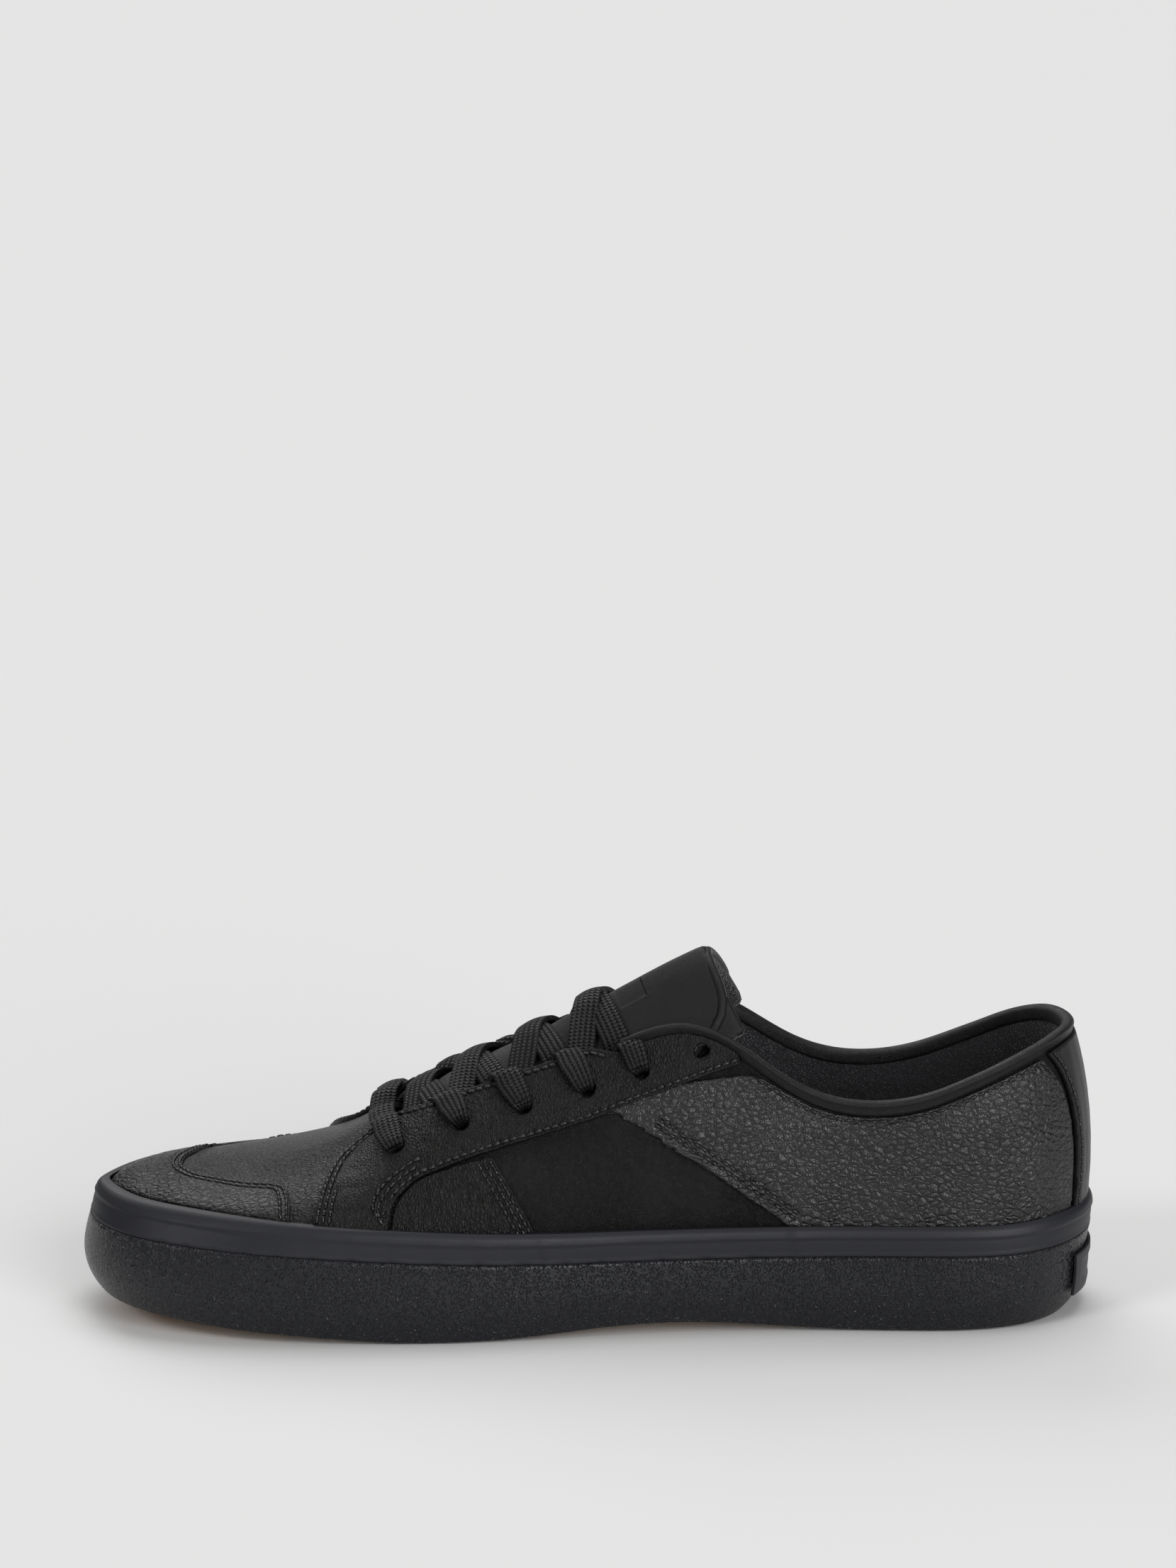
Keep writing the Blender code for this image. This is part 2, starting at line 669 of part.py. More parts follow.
def seam_curve(rows, side):
    """A seam as a function of 0 to 1 along it, in stations and rises, by its length on the last."""
    points = np.array([seam_point(row, side) for row in rows])
    places = np.array([on_last(u, s, side) for u, s in points])
    run = np.concatenate([[0], np.cumsum(np.linalg.norm(np.diff(places, axis=0), axis=1))])
    run /= run[-1]
    return lambda t: np.array([np.interp(t, run, points[:, 0]), np.interp(t, run, points[:, 1])])


def coons(foot, top, left, right, columns, rows, crowd=1.0):
    """A grid of stations and rises between four seams that share their corners; rows crowd to the foot."""
    grid = []
    for r in range(rows + 1):
        v = (r / rows) ** crowd
        line = []
        for c in range(columns + 1):
            w = c / columns
            ruled = (1 - v) * foot(w) + v * top(w) + (1 - w) * left(v) + w * right(v)
            corners = (1 - w) * (1 - v) * foot(0) + w * (1 - v) * foot(1) + (1 - w) * v * top(0) + w * v * top(1)
            line.append(tuple(ruled - corners))
        grid.append(line)
    return grid


def shell(name, patches, low, high, finish):
    """A solid skin over patches of the last, from one distance off it to another."""
    points, faces, seen = [], [], {}

    def vertex(u, s, side):
        place = on_last(u, s, side)
        key = tuple(round(c * 20000 + 0.137) for c in place)
        if key not in seen:
            seen[key] = len(points) // 2
            normal = last_normal(u, s, side)
            points.append(place + normal * low)
            points.append(place + normal * high)
        return seen[key]

    edges = {}
    for side, grid in patches:
        index = [[vertex(u, s, side) for u, s in line] for line in grid]
        for r in range(len(grid) - 1):
            for c in range(len(grid[0]) - 1):
                quad = [index[r][c], index[r][c + 1], index[r + 1][c + 1], index[r + 1][c]]
                if side == OUTER:
                    quad.reverse()
                quad = [v for k, v in enumerate(quad) if v not in quad[:k]]
                if len(quad) < 3:
                    continue
                faces.append([2 * v + 1 for v in quad])
                faces.append([2 * v for v in reversed(quad)])
                for a, b in zip(quad, quad[1:] + quad[:1]):
                    edges[(a, b)] = True
    for a, b in edges:
        if (b, a) not in edges:
            faces.append((2 * a, 2 * b, 2 * b + 1, 2 * a + 1))
    return add_mesh(name, points, faces, finish)


def build_tongue(leather):
    """The arched tongue under the facing; its top edge runs back and down from the crest."""
    reach = spline(TONGUE_EDGE["along"], TONGUE_EDGE["reach"])
    front = station(TONGUE_EDGE["along"][-1])
    patches = []
    for side in (INNER, OUTER):
        grid = []
        for w in np.linspace(0, 1, 5):
            top = TONGUE_CORNER + (TONGUE_TOP - TONGUE_CORNER) * (1 - (1 - w) ** 1.3)
            line = []
            for u in np.linspace(front, station(top), 12):
                edge = s_at_reach(u, side, reach(share(u)) * TONGUE_WIDTH / 2 + side * MIDDLE_SHIFT)
                line.append((u, edge + (1 - edge) * w))
            grid.append(line)
        patches.append((side, grid))
    shell("tongue", patches, -TONGUE_DEPTH - TONGUE_THICKNESS, -TONGUE_DEPTH, leather)


def lace_ribbon(name, marks, finish, collection="skate_shoe", count=11):
    """A flat ribbon over the last through (share along, y, distance off the last) marks."""
    marks = np.array(marks)
    t = np.linspace(0, 1, len(marks))
    centres, normals = [], []
    for w in np.linspace(0, 1, count):
        along, y, out = (float(np.interp(w, t, marks[:, k])) for k in range(3))
        u = station(along)
        crest = section(u, INNER)[0][-1][1]
        side = INNER if y < crest else OUTER
        s = s_at_reach(u, side, y * side)
        normal = last_normal(u, s, side)
        centres.append(on_last(u, s, side) + normal * out)
        normals.append(normal)
    rings = []
    for i, centre in enumerate(centres):
        run = centres[min(i + 1, count - 1)] - centres[max(i - 1, 0)]
        run /= np.linalg.norm(run)
        across = np.cross(normals[i], run)
        across /= np.linalg.norm(across)
        up = np.cross(run, across)
        half, thick = LACE_WIDTH / 2, LACE_THICKNESS / 2
        corners = ((1, 0), (0.85, 1), (-0.85, 1), (-1, 0), (-0.85, -1), (0.85, -1))
        rings.append([centre + across * half * a + up * thick * b for a, b in corners])
    return open_tube(name, rings, finish, collection)


def build_laces(cloth):
    """The bottom bar and the four crossings, each crossing fused into one piece."""
    top = PANEL_GAP + EYESTAY_THICKNESS + CLEARANCE + LACE_THICKNESS / 2 + 0.1 * MM
    bed = -TONGUE_DEPTH + CLEARANCE + LACE_THICKNESS / 2 + 0.4 * MM
    holes = []
    for side in (INNER, OUTER):
        holes.append([(EYELETS["along"][i], on_last(*eyelet_spot(i, side), side)[1]) for i in range(len(EYELETS["along"]))])
    inner, outer = holes
    a = inner[0][0]
    middle = (inner[0][1] + outer[0][1]) / 2
    bar = [(a, inner[0][1], top), (a + 0.008, 0.65 * inner[0][1], top), (a + 0.010, middle - 6 * MM, top - 0.8 * MM),
           (a + 0.010, middle + 6 * MM, top - 0.8 * MM), (a + 0.008, 0.65 * outer[0][1], top), (a, outer[0][1], top)]
    curve = [spline(np.linspace(0, 1, len(bar)), [m[k] for m in bar]) for k in range(3)]
    lace_ribbon("lace_bar", [tuple(line(t) for line in curve) for t in np.linspace(0, 1, 15)], cloth)
    for i, start in enumerate(CROSSING_STARTS):
        for over, start_side, ends in ((False, OUTER, inner), (True, INNER, outer)):
            first = start - (0.004 if start_side == OUTER else 0.0)
            u = station(first)
            y0 = on_last(u, edge_s(u, start_side), start_side)[1] - start_side * 3.0 * MM
            a1, y1 = ends[i + 1]
            lift = 1.6 * MM if over else 0.0
            marks = []
            for t in np.linspace(0, 1, 13):
                sway = 1 - (1 - t) ** 1.5 if over else t ** 1.9
                out = np.interp(t, LACE_RISE["way"], (bed, bed + 0.3 * lift, bed + lift, bed + lift, top - 1.2 * MM,
                                                      top, top))
                marks.append((first + (a1 - first) * sway, y0 + (y1 - y0) * t, out))
            if over:
                strand = lace_ribbon(f"lace_strand_{i + 1}", marks, cloth, "cutters")
                strand.hide_render = True
                strand.display_type = "WIRE"
            else:
                cross = lace_ribbon(f"lace_cross_{i + 1}", marks, cloth)
        join = cross.modifiers.new("other_strand", "BOOLEAN")
        join.operation = "UNION"
        join.solver = "EXACT"
        join.object = strand


def build_upper(leather):
    """The hollow upper: sides up to the opening, and the vamp and toe closed over the ridge."""
    behind = np.array([u for u in STATIONS if u < U_BASE + 1e-9])
    ahead = np.array([u for u in STATIONS if u > U_BASE - 1e-9])
    patches = []
    rows = 9
    for side in (INNER, OUTER):
        fractions = 1 - (1 - np.linspace(0, 1, rows + 1)) ** 1.35
        grid = [[(u, f * wall_edge_s(u, side)) for u in behind] for f in fractions]
        patches.append((side, grid))
        shared = (wall_edge_s(U_BASE, INNER) + wall_edge_s(U_BASE, OUTER)) / 2
        blend = (ahead - U_BASE) / (1 - U_BASE)
        base = wall_edge_s(U_BASE, side) * (1 - blend) + shared * blend
        patches.append((side, [[(u, f * b) for u, b in zip(ahead, base)] for f in fractions]))
        patches.append((side, [[(u, b + (1 - b) * f) for u, b in zip(ahead, base)] for f in (0, 1)]))
    upper = shell("upper", patches, -UPPER_WALL, 0.0, leather)
    cut_holes(upper)


def eyelet_spot(i, side):
    """The station and rise of a lace hole."""
    u = station(EYELETS["along"][i])
    return u, edge_s(u, side, EYELETS["inset"][i] * EYELET_INSET)


def frame_at(u, s, side):
    """The outward and the along-the-foot directions at a place of the last."""
    normal = last_normal(u, s, side)
    along = np.cross(normal, np.array([0.0, 1.0, 0.0]))
    along /= np.linalg.norm(along)
    return normal, along


def build_hole_cutters(finish):
    """One prism for each lace hole, square to the facing."""
    points, faces = [], []
    sides = 8
    for side in (INNER, OUTER):
        for i in range(len(EYELETS["along"])):
            u, s = eyelet_spot(i, side)
            centre = on_last(u, s, side)
            normal, along = frame_at(u, s, side)
            across = np.cross(normal, along)
            start = len(points)
            for lift in (-6 * MM, 6 * MM):
                for k in range(sides):
                    turn = 2 * math.pi * k / sides
                    ray = along * math.cos(turn) + across * math.sin(turn)
                    points.append(centre + ray * EYELET_DIAMETER / 2 + normal * lift)
            for k in range(sides):
                j = (k + 1) % sides
                faces.append((start + k, start + j, start + sides + j, start + sides + k))
            faces.append([start + k for k in range(sides)][::-1])
            faces.append([start + sides + k for k in range(sides)])
    made = add_mesh("hole_cutters", points, faces, finish, "cutters")
    made.hide_render = True
    made.display_type = "WIRE"


def cut_holes(target):
    """Cut the lace holes out of a piece."""
    cut = target.modifiers.new("lace_holes", "BOOLEAN")
    cut.operation = "DIFFERENCE"
    cut.solver = "EXACT"
    cut.object = bpy.data.objects["hole_cutters"]


def build_overlays(leather):
    """The pieces stitched on the upper, each standing a step above it."""
    patches = []
    for side in (INNER, OUTER):
        drop = CAP_OUTER_DROP if side == OUTER else 0.0
        cap_seam = [(a, r - drop if 0.5 < r < 0.8 else r) for a, r in TOE_CAP_SEAM]
        rim_rows = [(along, 0) for along in np.linspace(TOE_CAP_SEAM[0][0], 0.97, 12)]
        rim_rows += [(0.985, 0), (0.993, 0), (0.9978, 0), (0.9995, 0), (1.0, 0)]
        foot = seam_curve(rim_rows, side)
        nose = seam_curve([(1.0, 0), (1.0, 1.0), (0.99, 1.0), (0.97, 1.0), (0.95, 1.0), (0.927, 1.0)], side)
        rear = seam_curve(cap_seam[:3], side)
        top = seam_curve(cap_seam[2:], side)
        patches.append((side, coons(foot, top, rear, nose, 22, 5, 1.4)))
    shell("toe_cap", patches, PANEL_GAP, PANEL_GAP + TOE_CAP_THICKNESS, leather)

    for side, which in ((INNER, "inner"), (OUTER, "outer")):
        grid = []
        for top, foot in zip(FACING_TOP, FACING_FOOT):
            a, b = np.array(seam_point(foot, side)), np.array(seam_point(top, side))
            grid.append([tuple(a + (b - a) * f) for f in np.linspace(0, 1, 8)])
        grid = [list(line) for line in zip(*grid)]
        facing = shell("eyestay_" + which, [(side, grid)], PANEL_GAP, PANEL_GAP + EYESTAY_THICKNESS, leather)
        cut_holes(facing)

        gap = 0.0022
        front = seam_curve([(a - gap, r) for a, r in FACING_FOOT[:6]], side)
        rear = seam_curve(SIDE_PANEL_REAR, side)
        under = [(a, r - 0.008) for a, r in FACING_FOOT[5:10]]
        under[0] = (FACING_FOOT[5][0] - gap, FACING_FOOT[5][1])
        under[-1] = SIDE_PANEL_REAR[-1]
        top = seam_curve(under, side)
        foot = seam_curve([(a, 0) for a in np.linspace(FACING_FOOT[0][0] - gap, SIDE_PANEL_REAR[0][0], 8)], side)
        grid = coons(foot, top, front, rear, 7, 5)
        shell("side_panel_" + which, [(side, grid)], PANEL_GAP, PANEL_GAP + SIDE_PANEL_THICKNESS, leather)

        front = seam_curve(QUARTER_FRONT, side)
        rear_rows = [(a + 0.0035, r) for a, r in HEEL_STRIP_EDGE[:-1]] + [(HEEL_STRIP_EDGE[-1][0] + 0.0063, 2.7)]
        rear = seam_curve(rear_rows, side)
        foot = seam_curve([(a, 0) for a in np.linspace(QUARTER_FRONT[0][0], HEEL_STRIP_EDGE[0][0] + 0.0035, 18)], side)
        above = [QUARTER_FRONT[-1]] + [(a, r - 0.008) for a, r in FACING_FOOT[15:19]]
        above += [(a, 2.7) for a in np.linspace(0.335, rear_rows[-1][0], 18)]
        top = seam_curve(above, side)
        grid = coons(foot, top, front, rear, 24, 6)
        shell("quarter_" + which, [(side, grid)], PANEL_GAP, PANEL_GAP + QUARTER_THICKNESS, leather)

    patches = []
    for side in (INNER, OUTER):
        edge = seam_curve(HEEL_STRIP_EDGE, side)
        grid = []
        for f in np.linspace(0, 1, 10):
            u, s = edge(f)
            low = s_at_height(0.0, side, rim_top(0.0) + SEAM_GAP)
            high = wall_edge_s(0.0, side) - SEAM_GAP / section(0.0, side)[1][-1]
            middle = low + (high - low) * f
            grid.append([(u * w, middle + (s - middle) * w * w) for w in (0, 0.35, 0.7, 1)])
        patches.append((side, grid))
    shell("heel_strip", patches, PANEL_GAP, PANEL_GAP + HEEL_STRIP_THICKNESS, leather)


def rolled_edge(stations, centre_out, centre_down, half_width, half_height, sides=6):
    """Rings of a rounded strip that follows the opening's edge, as (station, side) places."""
    rings = []
    for u, side in stations:
        s = edge_s(u, side)
        run = section(u, side)[1][-1]
        normal = last_normal(u, s, side)
        rise = on_last(u, s, side) - on_last(u, s - 0.02, side)
        rise /= np.linalg.norm(rise)
        taper = 1 - 0.5 * soft((u - U_BINDING + 0.03) / 0.02)
        centre = on_last(u, s - centre_down / run, side) + normal * centre_out
        ring_points = []
        for k in range(sides):
            turn = 2 * math.pi * (k + 0.5) / sides
            ring_points.append(centre + normal * half_width * taper * math.cos(turn)
                               + rise * half_height * taper * math.sin(turn))
        rings.append(ring_points)
    return rings


def open_tube(name, rings, finish, collection="skate_shoe"):
    """A solid from loops along a way, with a flat face at each end."""
    count = len(rings[0])
    points = [p for loop in rings for p in loop]
    faces = []
    for r in range(len(rings) - 1):
        for i in range(count):
            j = (i + 1) % count
            faces.append((r * count + i, r * count + j, (r + 1) * count + j, (r + 1) * count + i))
    faces.append(list(range(count))[::-1])
    faces.append([(len(rings) - 1) * count + i for i in range(count)])
    return add_mesh(name, points, faces, finish, collection)


def build_binding(leather):
    """The rolled edge of the collar."""
    way = [u for u in STATIONS if u < U_BINDING - BINDING_STEP - 0.006] + [U_BINDING - BINDING_STEP - 0.004]
    stations = [(u, INNER) for u in reversed(way)] + [(u, OUTER) for u in way[1:]]
    down = (BINDING_HEIGHT - CLEARANCE) / 2
    rings = rolled_edge(stations, -0.4 * MM, down, BINDING_WIDTH / 2, down)
    open_tube("collar_binding", rings, leather)


def main():
    for old in list(bpy.data.objects):
        bpy.data.objects.remove(old)
    for name in ("skate_shoe", "cutters"):
        made = bpy.data.collections.new(name)
        bpy.context.scene.collection.children.link(made)
    rubber = material("navy_black_rubber", (0.022, 0.023, 0.029), 0.5)
    gum = material("gum_rubber", (0.42, 0.25, 0.12), 0.6)
    cloth = material("lining_cloth", (0.012, 0.012, 0.018), 0.9)
    leather = material("black_leather", (0.018, 0.018, 0.018), 0.45)
    build_sole(rubber, gum, cloth)
    build_hole_cutters(cloth)
    build_upper(leather)
    build_overlays(leather)
    build_binding(leather)
    build_tongue(leather)
    build_laces(cloth)


main()
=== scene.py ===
"""Looks of a low skateboarding shoe for the right foot: black leather on a foxed rubber sole."""

import math

import bmesh
import bpy
import numpy as np
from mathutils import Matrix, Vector
from mathutils.bvhtree import BVHTree
from mathutils.kdtree import KDTree


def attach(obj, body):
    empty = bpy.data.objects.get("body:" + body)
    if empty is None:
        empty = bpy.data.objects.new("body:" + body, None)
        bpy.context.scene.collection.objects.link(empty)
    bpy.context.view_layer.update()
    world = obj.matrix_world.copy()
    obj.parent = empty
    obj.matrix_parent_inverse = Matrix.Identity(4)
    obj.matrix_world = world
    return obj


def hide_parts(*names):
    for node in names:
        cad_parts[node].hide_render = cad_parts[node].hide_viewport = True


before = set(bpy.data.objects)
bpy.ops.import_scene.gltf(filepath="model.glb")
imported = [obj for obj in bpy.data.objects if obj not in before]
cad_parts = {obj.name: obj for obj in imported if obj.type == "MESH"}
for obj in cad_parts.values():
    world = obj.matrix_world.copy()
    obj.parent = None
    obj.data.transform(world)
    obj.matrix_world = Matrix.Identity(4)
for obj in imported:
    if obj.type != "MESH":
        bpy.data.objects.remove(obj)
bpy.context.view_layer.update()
MM = 0.001
scene = bpy.context.scene

# Camera at the photograph's angle: a little above the shoe's inner side, toe to the left.
AIM = Vector((0, -0.002, 0.050))
CAMERA_DISTANCE = 1.6
CAMERA_ELEVATION = math.radians(16)
CAMERA_TILT = math.radians(77.7)
CAMERA_LENS = 124.2

bpy.ops.object.select_all(action="DESELECT")
back = Vector((0, -math.cos(CAMERA_ELEVATION), math.sin(CAMERA_ELEVATION)))
bpy.ops.object.camera_add(location=AIM + back * CAMERA_DISTANCE, rotation=(CAMERA_TILT, 0, 0))
camera = bpy.context.object
camera.data.lens = CAMERA_LENS
camera.data.sensor_width = 36
camera.data.clip_end = 100
scene.camera = camera


# Studio: a plain pale floor that runs out of the frame, dim walls and ceiling, and four far soft
# boxes, which light the floor evenly. Its floor is the first piece that needs a finish.
class Wire:
    """A socket of a finish. Arithmetic on it adds Math nodes, so shader maths reads as expressions."""

    def __init__(self, finish, socket):
        self.finish, self.socket = finish, socket

    def maths(self, operation, *others):
        values = {k: v for k, v in enumerate((self, *others))}
        return self.finish.add("ShaderNodeMath", values, operation=operation)

    def __add__(self, other):
        return self.maths("ADD", other)

    def __sub__(self, other):
        return self.maths("SUBTRACT", other)

    def __rsub__(self, other):
        return self.maths("MULTIPLY_ADD", -1.0, other)

    def __mul__(self, other):
        return self.maths("MULTIPLY", other)

    def __pow__(self, other):
        return self.maths("POWER", other)

    __radd__, __rmul__ = __add__, __mul__

    def step(self, low, high):
        """0 below low, 1 above high, and smooth between."""
        sockets = {"Value": self, "From Min": low, "From Max": high}
        return self.finish.add("ShaderNodeMapRange", sockets, interpolation_type="SMOOTHSTEP")

    def band(self, low, high, edge):
        """1 between two values and 0 beyond them, with soft edges."""
        return self.step(low - edge, low + edge) * (1.0 - self.step(high - edge, high + edge))


class Finish:
    """A material made of one Principled shader; add() makes any other node."""

    def __init__(self, name, **sockets):
        self.material = bpy.data.materials.new(name)
        self.material.use_nodes = True
        self.tree = self.material.node_tree
        self.shader = self.tree.nodes["Principled BSDF"]
        self.feed(**sockets)

    def feed(self, **sockets):
        for name, value in sockets.items():
            self.join(self.shader.inputs[name.replace("_", " ")], value)

    def join(self, socket, value):
        if isinstance(value, Wire):
            self.tree.links.new(value.socket, socket)
        elif isinstance(value, tuple) and len(value) == 3 and socket.type == "RGBA":
            socket.default_value = (*value, 1)
        else:
            socket.default_value = value

    def add(self, kind, sockets=(), output=0, **settings):
        made = self.tree.nodes.new(kind)
        for name, value in settings.items():
            setattr(made, name, value)
        for name, value in dict(sockets).items():
            self.join(made.inputs[name], value)
        return Wire(self, made.outputs[output])

    def place(self, turn=(0, 0, 0), scale=(1, 1, 1)):
        """Object coordinates, turned and stretched."""
        spot = self.add("ShaderNodeTexCoord", output="Object")
        return self.add("ShaderNodeMapping", {"Vector": spot, "Rotation": turn, "Scale": scale})

    def axis(self, which):
        """One of the object coordinates."""
        return self.add("ShaderNodeSeparateXYZ", {"Vector": self.place()}, output=which)

    def noise(self, spot, scale, detail=2.0, rough=0.5):
        sockets = {"Vector": spot, "Scale": scale, "Detail": detail, "Roughness": rough}
        return self.add("ShaderNodeTexNoise", sockets)

    def stirred(self, spot, scale, amount):
        """A place moved about by a noise, so that a pattern on it isn't regular."""
        sockets = {"Vector": spot, "Scale": scale, "Detail": 1.0}
        colour = self.add("ShaderNodeTexNoise", sockets, output="Color")
        sockets = {0: colour, 1: (amount, amount, amount), 2: spot}
        return self.add("ShaderNodeVectorMath", sockets, operation="MULTIPLY_ADD")

    def cells(self, spot, scale):
        """How far a place is from the crease round its cell, in cells."""
        sockets = {"Vector": spot, "Scale": scale}
        return self.add("ShaderNodeTexVoronoi", sockets, feature="DISTANCE_TO_EDGE")

    def mix(self, share, first, second):
        made = self.tree.nodes.new("ShaderNodeMix")
        made.data_type = "RGBA"
        sockets = {"Factor": share, "A": first, "B": second}
        for socket in made.inputs:
            if socket.enabled and socket.name in sockets:
                self.join(socket, sockets[socket.name])
        return Wire(self, next(s for s in made.outputs if s.enabled))

    def bump(self, height, depth, strength=1.0, under=None):
        sockets = {"Height": height, "Distance": depth, "Strength": strength}
        if under:
            sockets["Normal"] = under
        return self.add("ShaderNodeBump", sockets)


FLOOR_SIZE = 40
FLOOR_COLOUR = (0.80, 0.80, 0.797)
WALLS = 0.08
CEILING = 0.30

floor_finish = Finish("pale_floor", Base_Color=FLOOR_COLOUR, Roughness=0.9, Specular_IOR_Level=0.1)
bpy.ops.object.select_all(action="DESELECT")
bpy.ops.mesh.primitive_plane_add(size=FLOOR_SIZE, location=(0, 0, 0))
floor = bpy.context.object
floor.name = "floor"
floor.data.materials.append(floor_finish.material)

world = bpy.data.worlds.new("studio")
world.use_nodes = True
room = world.node_tree
way = room.nodes.new("ShaderNodeTexCoord")
height = room.nodes.new("ShaderNodeSeparateXYZ")
rise = room.nodes.new("ShaderNodeMapRange")
rise.interpolation_type = "SMOOTHSTEP"
for name, value in {"From Min": 0.22, "From Max": 0.85, "To Min": WALLS, "To Max": CEILING}.items():
    rise.inputs[name].default_value = value
room.links.new(way.outputs["Generated"], height.inputs[0])
room.links.new(height.outputs["Z"], rise.inputs["Value"])
room.links.new(rise.outputs["Result"], room.nodes["Background"].inputs["Strength"])
room.nodes["Background"].inputs["Color"].default_value = (1, 1, 1, 1)
scene.world = world
scene.view_settings.view_transform = "Standard"


def soft_light(name, towards, width, strength):
    """A far soft box in a direction from the shoe, as wide as an angle."""
    bpy.ops.object.light_add(type="SUN", location=Vector(towards) * 3)
    lamp = bpy.context.object
    lamp.name = name
    lamp.data.angle = math.radians(width)
    lamp.data.energy = strength
    lamp.rotation_euler = Vector(towards).to_track_quat("Z", "Y").to_euler()


soft_light("top_box", (0.10, 0.22, 0.97), 40, 1.00)
soft_light("back_box", (-0.25, 0.76, 0.60), 36, 0.72)
soft_light("front_box", (0.46, -0.82, 0.33), 38, 1.90)
soft_light("toe_box", (-0.62, -0.52, 0.58), 16, 0.55)


# Foxed sole: one body of foam and navy-black rubber. Its side wall is moulded with a fine worm
# grain, and its rim stands up round the upper, which is glued into it.
SHOE_LENGTH = 298 * MM
SIDE_HEIGHT = 31.5 * MM
RIM_SPRING = 6.1 * MM
RIM_HEEL_RISE = 1.5 * MM


def pick(piece):
    """Only this piece is selected and active."""
    bpy.ops.object.select_all(action="DESELECT")
    piece.select_set(True)
    bpy.context.view_layer.objects.active = piece


def worked_copy(node, name):
    """A copy of a solid to work on: its doubles merged and its triangles joined into quads."""
    piece = bpy.data.objects.new(name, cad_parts[node].data.copy())
    piece.data.materials.clear()
    scene.collection.objects.link(piece)
    pick(piece)
    bpy.ops.object.mode_set(mode="EDIT")
    bpy.ops.mesh.select_all(action="SELECT")
    bpy.ops.mesh.remove_doubles(threshold=0.03 * MM)
    bpy.ops.mesh.tris_convert_to_quads(face_threshold=math.radians(50), shape_threshold=math.radians(70))
    bpy.ops.object.mode_set(mode="OBJECT")
    return piece


def modify(piece, kind, **settings):
    """Add a modifier and apply it."""
    pick(piece)
    made = piece.modifiers.new(kind.lower(), kind)
    for name, value in settings.items():
        setattr(made, name, value)
    bpy.ops.object.modifier_apply(modifier=made.name)


def rounded(piece, levels=2, crease=1.0):
    """Round a piece's facets and keep its edges."""
    pick(piece)
    bpy.ops.object.mode_set(mode="EDIT")
    bpy.ops.mesh.select_mode(type="EDGE")
    bpy.ops.mesh.select_all(action="DESELECT")
    bpy.ops.mesh.edges_select_sharp(sharpness=math.radians(42))
    bpy.ops.transform.edge_crease(value=crease)
    bpy.ops.object.mode_set(mode="OBJECT")
    modify(piece, "SUBSURF", levels=levels, render_levels=levels)


def finish_piece(piece, finish, slot, *nodes):
    """Give the piece its finish, hang it on the root body and hide the solids that it stands for. The slot
    is not used.
    """
    if finish:
        piece.data.materials.append(finish.material)
    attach(piece, "root")
    if nodes:
        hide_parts(*nodes)


def ease(t):
    """A smooth step from 0 to 1, for arrays too."""
    t = np.clip(t, 0, 1)
    return t * t * (3 - 2 * t)


def rim_height(x):
    """Height of the rim of the sole at places along the shoe."""
    along = (SHOE_LENGTH / 2 - x) / SHOE_LENGTH
    return SIDE_HEIGHT + RIM_HEEL_RISE * (1 - ease(along / 0.1)) + RIM_SPRING * ease((along - 0.5) / 0.5)


grained_rubber = Finish("grained_rubber", Specular_IOR_Level=0.42)
slant = grained_rubber.place(turn=(0, math.radians(30), 0), scale=(1, 1, 0.5))
wander = grained_rubber.noise(grained_rubber.stirred(slant, 900, 0.0005), 1250, 0.0)
broken = grained_rubber.noise(grained_rubber.place(), 1100, 1.0).step(0.40, 0.54)
worms = (1.0 - (wander - 0.5).maths("ABSOLUTE").step(0.0, 0.16)) * broken
fine = grained_rubber.noise(grained_rubber.place(), 2600, 1.0)
# The grooves round the worms are painted darker than the worm tops: this is painted shade in the grooves.
grained_rubber.feed(Base_Color=grained_rubber.mix(worms, (0.0045, 0.005, 0.0075), (0.0105, 0.011, 0.0145)))
grained_rubber.feed(Roughness=0.32 - worms * 0.12)
grained_rubber.feed(Normal=grained_rubber.bump(worms + fine * 0.22, 0.42 * MM))

sole = worked_copy("foxed_midsole", "foxed_sole")
rounded(sole)
sole.data.shade_smooth()
finish_piece(sole, grained_rubber, "foxing_rubber", "foxed_midsole")

# Strip: smooth rubber tape wrapped round the top of the side wall, with a rounded lip, a step line
# under it and joints where the tape laps over itself.
STRIP_HEIGHT = 8.3 * MM
LIP_HEIGHT = 3.0 * MM
LIP_OUT = 0.45 * MM
LIP_UP = 0.7 * MM
STEP_LINE = 0.22 * MM
TAPE_JOINTS = (-15 * MM, 57.7 * MM)
LAP = 0.35 * MM
LAP_SLANT = 0.35
LAP_FADE = 6 * MM


def points_of(piece):
    points = np.empty(len(piece.data.vertices) * 3)
    piece.data.vertices.foreach_get("co", points)
    return points.reshape(-1, 3)


def normals_of(piece):
    normals = np.empty(len(piece.data.vertices) * 3)
    piece.data.vertices.foreach_get("normal", normals)
    return normals.reshape(-1, 3)


def move_points(piece, points):
    piece.data.vertices.foreach_set("co", np.asarray(points).ravel())
    piece.data.update()


smooth_rubber = Finish("smooth_rubber", Base_Color=(0.0125, 0.013, 0.0175), Specular_IOR_Level=0.34)
matt = smooth_rubber.noise(smooth_rubber.place(), 1500, 2.0)
cloudy = smooth_rubber.noise(smooth_rubber.place(), 70, 3.0)
smooth_rubber.feed(Roughness=0.44 + cloudy * 0.12)
smooth_rubber.feed(Normal=smooth_rubber.bump(matt, 0.05 * MM))

